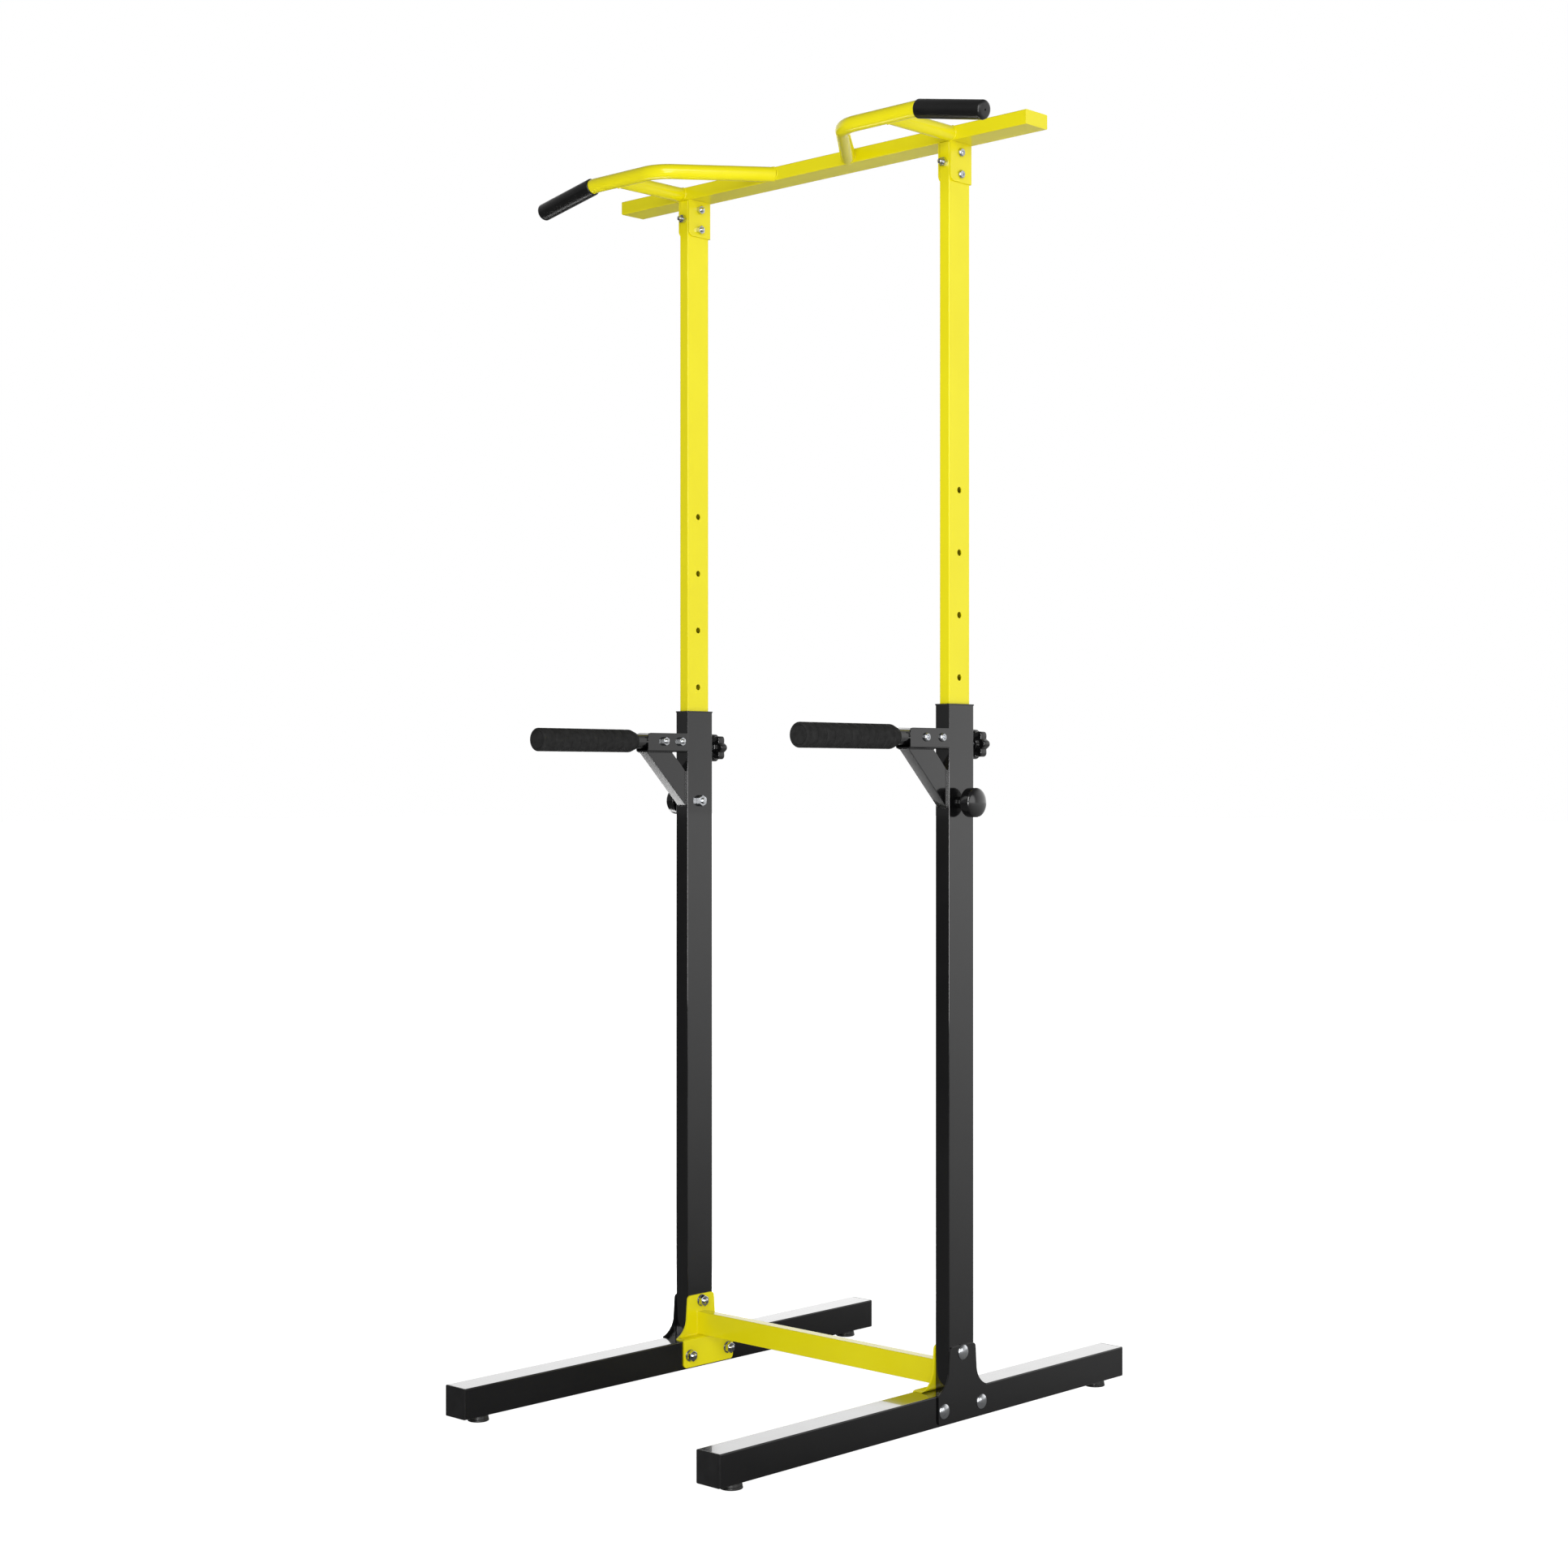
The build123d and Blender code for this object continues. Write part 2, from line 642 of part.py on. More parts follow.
# dip handles
save_pair("dip_arm", dip_arm())
save_pair("dip_brace", dip_brace())
save_pair("dip_handle", dip_handle())
save_pair("dip_grip", dip_grip())
dip_bolts, dip_nuts = dip_fasteners()
save("dip_bolts", *both_sides(dip_bolts))
save("dip_nuts", *both_sides(dip_nuts))

# sliding top frame
save_pair("upper_upright", upper_upright())
save_pair("glide_plug", glide_plug())
save("pull_up_bar", top_bar())
save("bar_end_plates", *both_sides([bar_end()]))
save_pair("top_bracket", top_bracket())
bracket_bolts, bracket_nuts = bracket_fasteners()
save("bracket_bolts", *both_sides(bracket_bolts))
save("bracket_nuts", *both_sides(bracket_nuts))
save_pair("handle_tube", handle_tube())
save_pair("handle_brace", handle_brace())
save_pair("handle_grip", handle_grip())

# pins and clamps
save("pin_nuts", *both_sides([pin_nut()]))
save_pair("pin_stud", pin_stud())
save_pair("pin_knob", pin_knob())
save("clamp_nuts", *both_sides([clamp_nut()]))
save_pair("clamp_stud", clamp_stud())
save_pair("clamp_knob", clamp_knob())
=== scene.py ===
import json
import math
import bmesh
import bpy
from mathutils import Matrix, Vector


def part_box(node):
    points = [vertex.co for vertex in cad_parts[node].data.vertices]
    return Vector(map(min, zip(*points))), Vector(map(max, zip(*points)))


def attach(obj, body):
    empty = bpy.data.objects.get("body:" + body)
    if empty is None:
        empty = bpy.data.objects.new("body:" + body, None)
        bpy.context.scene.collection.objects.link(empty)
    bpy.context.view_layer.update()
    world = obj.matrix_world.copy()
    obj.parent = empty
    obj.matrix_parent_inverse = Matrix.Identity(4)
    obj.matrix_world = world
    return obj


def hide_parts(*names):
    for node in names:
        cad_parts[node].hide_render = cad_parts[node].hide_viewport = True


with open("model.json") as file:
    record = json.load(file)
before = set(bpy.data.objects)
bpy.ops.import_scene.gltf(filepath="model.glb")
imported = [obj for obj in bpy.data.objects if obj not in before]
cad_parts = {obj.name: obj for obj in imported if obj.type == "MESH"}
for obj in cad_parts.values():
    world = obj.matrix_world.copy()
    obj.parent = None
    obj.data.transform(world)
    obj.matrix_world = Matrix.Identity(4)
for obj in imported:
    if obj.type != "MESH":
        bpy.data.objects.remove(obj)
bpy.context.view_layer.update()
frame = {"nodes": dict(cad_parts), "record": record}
nodes = frame["nodes"]
mm = 0.001
print("frame loaded with", len(nodes), "nodes")

# camera, level with the dip handles and looking from the right front
cameraLook = {"place": (2.9282, -3.0968, 1.0315), "turn": 43.647, "lens": 58.647, "sensor": 36.0}

eye = bpy.data.cameras.new("studioCamera")
eye.lens = cameraLook["lens"]
eye.sensor_width = cameraLook["sensor"]
eye.clip_end = 100.0
eyeObject = bpy.data.objects.new("studioCamera", eye)
eyeObject.location = cameraLook["place"]
eyeObject.rotation_euler = (math.radians(90), 0, math.radians(cameraLook["turn"]))
bpy.context.collection.objects.link(eyeObject)
bpy.context.scene.camera = eyeObject
bpy.context.scene.view_settings.view_transform = "Standard"
print("camera placed")


# node helpers

def linear(hexColour):
    # sRGB hex, as a paint chart gives it, to the linear colour that shaders take
    parts = [int(hexColour[i:i + 2], 16) / 255 for i in (1, 3, 5)]
    return [c / 12.92 if c <= 0.04045 else ((c + 0.055) / 1.055) ** 2.4 for c in parts] + [1.0]


def addNode(tree, kind, settings=None, links=None):
    node = tree.nodes.new(kind)
    for key, value in (settings or {}).items():
        setattr(node, key, value)
    for key, value in (links or {}).items():
        socket = node.inputs[key]
        if isinstance(value, bpy.types.NodeSocket):
            tree.links.new(value, socket)
        else:
            socket.default_value = value
    return node


def surfaceOf(name, sockets):
    # an empty material with its shader, whose constant sockets are set straight away
    material = bpy.data.materials.new(name)
    material.use_nodes = True
    tree = material.node_tree
    tree.nodes.clear()
    shader = addNode(tree, "ShaderNodeBsdfPrincipled", links=sockets)
    addNode(tree, "ShaderNodeOutputMaterial", links={"Surface": shader.outputs[0]})
    place = addNode(tree, "ShaderNodeTexCoord").outputs["Object"]
    return material, tree, shader, place


def noiseBand(tree, place, sizeMm, low, high, detail=2.0):
    # noise with a grain of sizeMm, stretched from low to high
    noise = addNode(tree, "ShaderNodeTexNoise", links={"Vector": place, "Scale": 1000 / sizeMm,
                                                       "Detail": detail})
    band = addNode(tree, "ShaderNodeMapRange", links={"Value": noise.outputs["Fac"], "From Min": 0.3,
                                                      "From Max": 0.7, "To Min": low, "To Max": high})
    return band.outputs[0]


def mathNode(tree, operation, first, second):
    return addNode(tree, "ShaderNodeMath", {"operation": operation}, {0: first, 1: second}).outputs[0]


def whiteLight(tree, kind, strength):
    # an emission or background node of the given strength
    return addNode(tree, kind, links={"Color": (1, 1, 1, 1), "Strength": strength}).outputs[0]


def bumpFrom(tree, shader, height, strength, depthMm):
    bump = addNode(tree, "ShaderNodeBump", links={"Height": height, "Strength": strength,
                                                  "Distance": depthMm * mm})
    tree.links.new(bump.outputs[0], shader.inputs["Normal"])


def twoTone(tree, shader, factor, first, second):
    mix = addNode(tree, "ShaderNodeMix", {"data_type": "RGBA"}, {"Factor": factor})
    mix.inputs[6].default_value = linear(first)
    mix.inputs[7].default_value = linear(second)
    tree.links.new(mix.outputs[2], shader.inputs["Base Color"])


# materials, each from what the real surface is

def blackPowderCoat():
    # polyester powder, stoved to a high gloss: deep black with clear mirror images, and a faint
    # orange peel that makes them swim
    look = {"IOR": 1.5, "Coat Weight": 1.0, "Coat Roughness": 0.03, "Coat IOR": 1.5}
    material, tree, shader, place = surfaceOf("blackPowderCoat", look)
    twoTone(tree, shader, noiseBand(tree, place, 60, 0.0, 1.0), "#0d0d0e", "#111112")
    tree.links.new(noiseBand(tree, place, 35, 0.11, 0.18), shader.inputs["Roughness"])
    # real orange peel is about 2 mm; drawn at 8 mm so that it shows
    bumpFrom(tree, shader, noiseBand(tree, place, 8, 0.0, 1.0, 0.5), 0.05, 0.10)
    return material


def lemonPowderCoat():
    # the same powder in lemon yellow, with a thinner gloss than the black: strong flat colour, and
    # whitish where it mirrors at a low angle
    look = {"IOR": 1.45, "Coat Weight": 0.2, "Coat Roughness": 0.06, "Coat IOR": 1.5}
    material, tree, shader, place = surfaceOf("lemonPowderCoat", look)
    twoTone(tree, shader, noiseBand(tree, place, 80, 0.0, 1.0), "#ece110", "#eade0b")
    tree.links.new(noiseBand(tree, place, 35, 0.16, 0.22), shader.inputs["Roughness"])
    bumpFrom(tree, shader, noiseBand(tree, place, 8, 0.0, 1.0, 0.5), 0.05, 0.10)
    return material


def brightZincPlate():
    # electroplated zinc with a clear passivate: bright, a little blue, with faint drawing marks
    material, tree, shader, place = surfaceOf("brightZincPlate", {"Metallic": 1.0})
    twoTone(tree, shader, noiseBand(tree, place, 4, 0.0, 1.0, 4.0), "#d9dbde", "#c3c6ca")
    tree.links.new(noiseBand(tree, place, 1.5, 0.12, 0.26, 4.0), shader.inputs["Roughness"])
    bumpFrom(tree, shader, noiseBand(tree, place, 0.8, 0.0, 1.0), 0.15, 0.04)
    return material


def ribbedNitrileRubber():
    # moulded nitrile sleeve, straight from a blasted mould: matte dark grey with next to no gloss
    look = {"IOR": 1.35, "Specular IOR Level": 0.05}
    material, tree, shader, place = surfaceOf("ribbedNitrileRubber", look)
    twoTone(tree, shader, noiseBand(tree, place, 9, 0.0, 1.0, 4.0), "#252525", "#2f2f2f")
    tree.links.new(noiseBand(tree, place, 5, 0.60, 0.75), shader.inputs["Roughness"])
    # mould grain of about 0.5 mm, drawn at 1.2 mm so that it shows
    bumpFrom(tree, shader, noiseBand(tree, place, 1.2, 0.0, 1.0, 3.0), 0.35, 0.10)
    return material


def dippedVinyl():
    # hand grip dipped in soft PVC: smooth, satin black with a soft highlight
    look = {"IOR": 1.53, "Coat Weight": 0.15, "Coat Roughness": 0.2}
    material, tree, shader, place = surfaceOf("dippedVinyl", look)
    twoTone(tree, shader, noiseBand(tree, place, 25, 0.0, 1.0), "#101010", "#151515")
    tree.links.new(noiseBand(tree, place, 12, 0.30, 0.40), shader.inputs["Roughness"])
    bumpFrom(tree, shader, noiseBand(tree, place, 4, 0.0, 1.0), 0.12, 0.12)
    return material


def polishedAbs():
    # injection-moulded ABS from a polished tool: glossy black, slightly wavy
    look = {"IOR": 1.54, "Coat Weight": 0.6, "Coat Roughness": 0.07}
    material, tree, shader, place = surfaceOf("polishedAbs", look)
    twoTone(tree, shader, noiseBand(tree, place, 20, 0.0, 1.0), "#0c0c0d", "#111112")
    tree.links.new(noiseBand(tree, place, 10, 0.14, 0.20), shader.inputs["Roughness"])
    bumpFrom(tree, shader, noiseBand(tree, place, 3, 0.0, 1.0), 0.08, 0.08)
    return material


def footRubber():
    # hard carbon-filled rubber, moulded satin, with a little dust in its grain
    material, tree, shader, place = surfaceOf("footRubber", {"IOR": 1.5, "Specular IOR Level": 0.5})
    twoTone(tree, shader, noiseBand(tree, place, 3, 0.0, 1.0, 5.0), "#191919", "#2a2a29")
    tree.links.new(noiseBand(tree, place, 4, 0.32, 0.46), shader.inputs["Roughness"])
    bumpFrom(tree, shader, noiseBand(tree, place, 1.2, 0.0, 1.0, 3.0), 0.3, 0.10)
    return material


def slickPolythene(name, light, dark):
    # moulded polythene, waxy and half matte, for the sliding liners and the pushed-in tube caps
    material, tree, shader, place = surfaceOf(name, {"IOR": 1.51, "Coat Weight": 0.1, "Coat Roughness": 0.3})
    twoTone(tree, shader, noiseBand(tree, place, 15, 0.0, 1.0), dark, light)
    tree.links.new(noiseBand(tree, place, 8, 0.34, 0.46), shader.inputs["Roughness"])
    bumpFrom(tree, shader, noiseBand(tree, place, 1.5, 0.0, 1.0), 0.15, 0.06)
    return material


finishes = {
    "black_paint": blackPowderCoat(),
    "yellow_paint": lemonPowderCoat(),
    "zinc_steel": brightZincPlate(),
    "ribbed_rubber": ribbedNitrileRubber(),
    "smooth_rubber": dippedVinyl(),
    "foot_rubber": footRubber(),
    "knob_plastic": polishedAbs(),
    "liner_plastic": slickPolythene("linerPolythene", "#2b2b2c", "#222223"),
    "cap_plastic": slickPolythene("capPolythene", "#1d1d1e", "#161617"),
}
slotOfNode = {part["node"]: part["material_slot"] for part in frame["record"]["subparts"]}
bodyOfNode = {node: body for body, held in frame["record"]["behaviour"]["bodies"].items() for node in held}
for node, part in nodes.items():
    part.data.materials.clear()
    part.data.materials.append(finishes[slotOfNode[node]])
print("materials made and given to the steelwork")


# mesh helpers

def newPiece(name, mesh, node):
    # a finished piece: it stands for a CAD node, rides with it and takes its finish
    piece = bpy.data.objects.new(name, mesh)
    bpy.context.collection.objects.link(piece)
    if not mesh.materials:
        mesh.materials.append(finishes[slotOfNode[node]])
    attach(piece, bodyOfNode[node])
    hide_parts(node)
    return piece


mergeGap = {"drawn": 0.000002, "cad": 0.00001}   # points closer than this are one, m


def crispMesh(form, name, sharpAngle):
    # makes a smooth mesh of the bmesh, with edges sharper than sharpAngle kept crisp
    for face in form.faces:
        face.smooth = True
    limit = math.radians(sharpAngle)
    for edge in form.edges:
        edge.smooth = len(edge.link_faces) == 2 and edge.calc_face_angle(0.0) < limit
    mesh = bpy.data.meshes.new(name)
    form.to_mesh(mesh)
    form.free()
    return mesh


def meshFrom(form, name, sharpAngle=32.0):
    # closes the bmesh, normals outwards, and makes a mesh of it
    bmesh.ops.remove_doubles(form, verts=form.verts, dist=mergeGap["drawn"])
    bmesh.ops.recalc_face_normals(form, faces=form.faces)
    return crispMesh(form, name, sharpAngle)


def axisFrame(origin, axis):
    # turns local +Z to axis and moves it to origin
    turn = Vector((0, 0, 1)).rotation_difference(Vector(axis).normalized()).to_matrix().to_4x4()
    return Matrix.Translation(Vector(origin)) @ turn


def roundedCorner(centre, radius, start, end, steps):
    # points (r, z) of an arc about centre, angles in degrees
    angles = [math.radians(start + (end - start) * i / steps) for i in range(steps + 1)]
    return [(centre[0] + radius * math.cos(a), centre[1] + radius * math.sin(a)) for a in angles]


def turnInto(form, profile, place, segments, radiusAt=None):
    # turns a profile of (r, z) about Z; radiusAt(angle, r, z) may push a ring out of round
    rings = []
    for r, z in profile:
        if r < 1e-9:
            rings.append([form.verts.new(place @ Vector((0, 0, z)))])
            continue
        ring = []
        for i in range(segments):
            angle = math.tau * i / segments
            reach = radiusAt(angle, r, z) if radiusAt else r
            ring.append(form.verts.new(place @ Vector((reach * math.cos(angle), reach * math.sin(angle), z))))
        rings.append(ring)
    for lower, upper in zip(rings, rings[1:]):
        for i in range(segments):
            j = (i + 1) % segments
            corners = [lower[i % len(lower)], lower[j % len(lower)], upper[j % len(upper)],
                       upper[i % len(upper)]]
            unique = list(dict.fromkeys(corners))
            if len(unique) > 2:
                form.faces.new(unique)


def turnedMesh(name, parts, segments=64, sharpAngle=32.0):
    form = bmesh.new()
    for profile, origin, axis in parts:
        turnInto(form, profile, axisFrame(origin, axis), segments)
    return meshFrom(form, name, sharpAngle=sharpAngle)


def hexReach(angle):
    # how far a hexagon with unit inradius reaches at an angle
    return 1 / math.cos((angle % (math.pi / 3)) - math.pi / 6)


def joined(name, meshes):
    form = bmesh.new()
    for mesh in meshes:
        form.from_mesh(mesh)
    whole = bpy.data.meshes.new(name)
    form.to_mesh(whole)
    form.free()
    for material in meshes[0].materials:
        whole.materials.append(material)
    return whole


# geometry node trees

def newTree(name, inputs):
    tree = bpy.data.node_groups.new(name, "GeometryNodeTree")
    tree.interface.new_socket(name="Geometry", in_out="OUTPUT", socket_type="NodeSocketGeometry")
    tree.interface.new_socket(name="Geometry", in_out="INPUT", socket_type="NodeSocketGeometry")
    for label, kind in inputs:
        tree.interface.new_socket(name=label, in_out="INPUT", socket_type=f"NodeSocket{kind}")
    return tree, addNode(tree, "NodeGroupInput")


def closeTree(tree, geometry, material):
    real = addNode(tree, "GeometryNodeRealizeInstances", links={"Geometry": geometry})
    painted = addNode(tree, "GeometryNodeSetMaterial", links={"Geometry": real.outputs[0],
                                                              "Material": material})
    addNode(tree, "NodeGroupOutput", links={"Geometry": painted.outputs[0]})
    return tree


def fastenerTree():
    # sets one master on every point, its Z along the point's axis, sized by radius and height
    tree, given = newTree("fastenerTree", [("Master", "Object"), ("Radius", "Float"), ("Height", "Float"),
                                           ("Finish", "Material")])
    axis = addNode(tree, "GeometryNodeInputNamedAttribute", {"data_type": "FLOAT_VECTOR"}, {"Name": "axis"})
    turn = addNode(tree, "FunctionNodeAlignRotationToVector", {"axis": "Z"}, {"Vector": axis.outputs[0]})
    master = addNode(tree, "GeometryNodeObjectInfo", links={"Object": given.outputs["Master"]})
    radius = given.outputs["Radius"]
    size = addNode(tree, "ShaderNodeCombineXYZ", links={"X": radius, "Y": radius,
                                                        "Z": given.outputs["Height"]})
    placed = addNode(tree, "GeometryNodeInstanceOnPoints", links={
        "Points": given.outputs["Geometry"], "Instance": master.outputs["Geometry"],
        "Rotation": turn.outputs[0], "Scale": size.outputs[0]})
    return closeTree(tree, placed.outputs[0], given.outputs["Finish"])


def bentTubeTree():
    # a tube along a line whose corners are rounded by each point's own bend
    tree, given = newTree("bentTubeTree", [("Tube radius", "Float"), ("Round steps", "Int"),
                                           ("Bend steps", "Int"), ("Finish", "Material")])
    bend = addNode(tree, "GeometryNodeInputNamedAttribute", {"data_type": "FLOAT"}, {"Name": "bend"})
    line = addNode(tree, "GeometryNodeMeshToCurve", links={0: given.outputs["Geometry"]})
    rounded = addNode(tree, "GeometryNodeFilletCurve", {"mode": "POLY"}, {
        "Curve": line.outputs[0], "Radius": bend.outputs[0], "Count": given.outputs["Bend steps"]})
    ring = addNode(tree, "GeometryNodeCurvePrimitiveCircle", links={
        "Resolution": given.outputs["Round steps"], "Radius": given.outputs["Tube radius"]})
    tube = addNode(tree, "GeometryNodeCurveToMesh", links={
        "Curve": rounded.outputs[0], "Profile Curve": ring.outputs[0], "Fill Caps": True})
    smooth = addNode(tree, "GeometryNodeSetShadeSmooth", links={"Geometry": tube.outputs[0]})
    return closeTree(tree, smooth.outputs[0], given.outputs["Finish"])


beadStep = 0.0012   # from ring to ring along a weld, m


def weldBeadTree():
    # a small rippled bead along a line: the ripple is the pulse of the welder's hand
    tree, given = newTree("weldBeadTree", [("Bead radius", "Float"), ("Ripple", "Float"),
                                           ("Ripple length", "Float"), ("Finish", "Material")])
    line = addNode(tree, "GeometryNodeMeshToCurve", links={0: given.outputs["Geometry"]})
    even = addNode(tree, "GeometryNodeResampleCurve", {"mode": "LENGTH"}, {"Curve": line.outputs[0],
                                                                         "Length": beadStep})
    along = addNode(tree, "GeometryNodeSplineParameter")
    pulse = mathNode(tree, "DIVIDE", along.outputs["Length"], given.outputs["Ripple length"])
    wave = addNode(tree, "ShaderNodeMath", {"operation": "SINE"}, {0: pulse})
    swell = addNode(tree, "ShaderNodeMath", {"operation": "MULTIPLY_ADD"}, {
        0: wave.outputs[0], 1: given.outputs["Ripple"], 2: 1.0})
    ring = addNode(tree, "GeometryNodeCurvePrimitiveCircle", links={"Resolution": 10,
                                                                    "Radius": given.outputs["Bead radius"]})
    bead = addNode(tree, "GeometryNodeCurveToMesh", links={
        "Curve": even.outputs[0], "Scale": swell.outputs[0], "Profile Curve": ring.outputs[0],
        "Fill Caps": True})
    smooth = addNode(tree, "GeometryNodeSetShadeSmooth", links={"Geometry": bead.outputs[0]})
    return closeTree(tree, smooth.outputs[0], given.outputs["Finish"])


def grown(name, tree, guide, inputs):
    # runs a tree on a guide mesh and keeps the result as a plain mesh
    holder = bpy.data.objects.new(name, guide)
    bpy.context.collection.objects.link(holder)
    modifier = holder.modifiers.new(name, "NODES")
    modifier.node_group = tree
    for item in tree.interface.items_tree:
        if item.in_out == "INPUT" and item.name in inputs:
            modifier[item.identifier] = inputs[item.name]
    mesh = bpy.data.meshes.new_from_object(holder.evaluated_get(bpy.context.evaluated_depsgraph_get()))
    mesh.name = name
    holder.modifiers.clear()
    bpy.data.objects.remove(holder)
    return mesh


def pointsGuide(places):
    # loose points, each with the axis that its fastener stands along
    mesh = bpy.data.meshes.new("pointsGuide")
    mesh.from_pydata([place for place, _ in places], [], [])
    axis = mesh.attributes.new("axis", "FLOAT_VECTOR", "POINT")
    for i, (_, direction) in enumerate(places):
        axis.data[i].vector = direction
    return mesh


def lineGuide(points, bends=None, closed=False):
    mesh = bpy.data.meshes.new("lineGuide")
    edges = [(i, i + 1) for i in range(len(points) - 1)]
    if closed:
        edges.append((len(points) - 1, 0))
    mesh.from_pydata(points, edges, [])
    bend = mesh.attributes.new("bend", "FLOAT", "POINT")
    for i in range(len(points)):
        bend.data[i].value = bends[i] if bends else 0.0
    return mesh


setFasteners = fastenerTree()
bendTube = bentTubeTree()
layBead = weldBeadTree()
print("geometry node trees built")


# fastener masters, all of unit radius and unit height, standing on z = 0

fastenerLook = {"segments": 36, "socketAcross": 0.36, "socketDepth": 0.55, "threadDepth": 0.09, "threads": 7,
                "boreOfNut": 0.6, "chamferCircle": 0.94, "chamferSlope": 0.40}


def masterObject(name, mesh):
    master = bpy.data.objects.new(name, mesh)
    mesh.materials.append(finishes["zinc_steel"])
    return master


def domeHeadMaster():
    # plain mushroom head with nothing to grip
    rim = [(0, 0), (0.96, 0), (1.0, 0.05), (1.0, 0.10)]
    crown = [(math.cos(math.radians(a)) if a < 90 else 0, 0.04 + 0.96 * math.sin(math.radians(a)))
             for a in range(10, 91, 10)]
    return masterObject("domeHead", turnedMesh("domeHead", [(rim + crown, (0, 0, 0), (0, 0, 1))], 48))


def capHeadMaster():
    # cone-sided head with a hexagon socket in its flat face
    look = fastenerLook
    across = look["socketAcross"]
    brim, floorOfSocket = 0.97, 0.97 - look["socketDepth"]
    profile = [(0, 0), (0.97, 0), (1.0, 0.05), (1.0, 0.35), (0.80, 0.94), (0.74, 1.0), (across + 0.1, 1.0)]
    hexRings = {(across, brim), (across, floorOfSocket)}   # the only rings out of round
    profile += [(across, brim), (across, floorOfSocket), (0, floorOfSocket - 0.08)]

    def socketShape(angle, r, z):
        return across * hexReach(angle) if (r, z) in hexRings else r

    form = bmesh.new()
    turnInto(form, profile, Matrix.Identity(4), look["segments"], socketShape)
    return masterObject("capHead", meshFrom(form, "capHead", sharpAngle=35))


def hexNutMaster():
    look = fastenerLook
    bore, circle = look["boreOfNut"], look["chamferCircle"]
    form = bmesh.new()
    segments = look["segments"]
    rings = []
    for kind in ("bottomBore", "bottomFlat", "side", "topCorner", "topFlat", "boreLip", "bore"):
        ring = []
        for i in range(segments):
            angle = math.tau * i / segments
            reach = hexReach(angle)
            drop = (reach - circle) * look["chamferSlope"]
            r, z = {"bottomBore": (bore, 0.0), "bottomFlat": (circle, 0.0), "side": (reach, drop),
                    "topCorner": (reach, 1 - drop), "topFlat": (circle, 1.0), "boreLip": (bore + 0.05, 1.0),
                    "bore": (bore, 0.94)}[kind]
            ring.append(form.verts.new((r * math.cos(angle), r * math.sin(angle), z)))
        rings.append(ring)
    for lower, upper in zip(rings, rings[1:] + rings[:1]):
        for i in range(segments):
            j = (i + 1) % segments
            form.faces.new([lower[i], lower[j], upper[j], upper[i]])
    return masterObject("hexNut", meshFrom(form, "hexNut", sharpAngle=14))


def washerMaster():
    profile = [(0.5, 0), (0.97, 0), (1.0, 0.2), (1.0, 0.8), (0.97, 1.0), (0.5, 1.0), (0.5, 0)]
    return masterObject("flatWasher", turnedMesh("flatWasher", [(profile, (0, 0, 0), (0, 0, 1))], 48))


def boltEndMaster():
    # from z = 0 outwards: thread crests and roots, then a chamfered tip at z = 1
    look = fastenerLook
    profile = [(0, 0), (1, 0)]
    pitch = 0.86 / look["threads"]
    for i in range(look["threads"]):
        profile += [(1.0, pitch * (i + 0.25)), (1 - look["threadDepth"], pitch * (i + 0.6))]
        profile += [(1.0, pitch * (i + 0.95))]
    profile += [(1.0, 0.9), (0.82, 1.0), (0, 1.0)]
    return masterObject("boltEnd", turnedMesh("boltEnd", [(profile, (0, 0, 0), (0, 0, 1))], 28, 50))


masters = {"dome": domeHeadMaster(), "cap": capHeadMaster(), "nut": hexNutMaster(), "washer": washerMaster(),
           "end": boltEndMaster()}
boltSizes = {
    "M10": {"head": "dome", "r": 5.0, "headR": 12.0, "headH": 5.0, "nutR": 8.5, "nutH": 8.0, "washerR": 10.5,
            "washerH": 2.0},
    "M8": {"head": "cap", "r": 4.0, "headR": 7.0, "headH": 4.4, "nutR": 6.5, "nutH": 6.5},
}
endLength = 11.0   # threaded length shown at a bolt's tip, mm


def groups(node):
    # the box of every separate solid in a CAD node, from its loose parts
    form = bmesh.new()
    form.from_mesh(nodes[node].data)
    bmesh.ops.remove_doubles(form, verts=form.verts, dist=mergeGap["cad"])
    form.verts.ensure_lookup_table()
    seen, boxes = set(), []
    for vert in form.verts:
        if vert.index in seen:
            continue
        stack, found = [vert], []
        seen.add(vert.index)
        while stack:
            at = stack.pop()
            found.append(at.co.copy())
            for edge in at.link_edges:
                other = edge.other_vert(at)
                if other.index not in seen:
                    seen.add(other.index)
                    stack.append(other)
        low = Vector([min(p[k] for p in found) for k in range(3)])
        high = Vector([max(p[k] for p in found) for k in range(3)])
        boxes.append((low, high))
    form.free()
    return boxes


def headAxis(low, high):
    # a bolt is longest along its axis; on the sides its head is outward, at the back it faces back
    span = high - low
    k = max(range(3), key=lambda i: span[i])
    if k == 0:
        return k, math.copysign(1.0, (low + high)[0])
    return k, 1.0


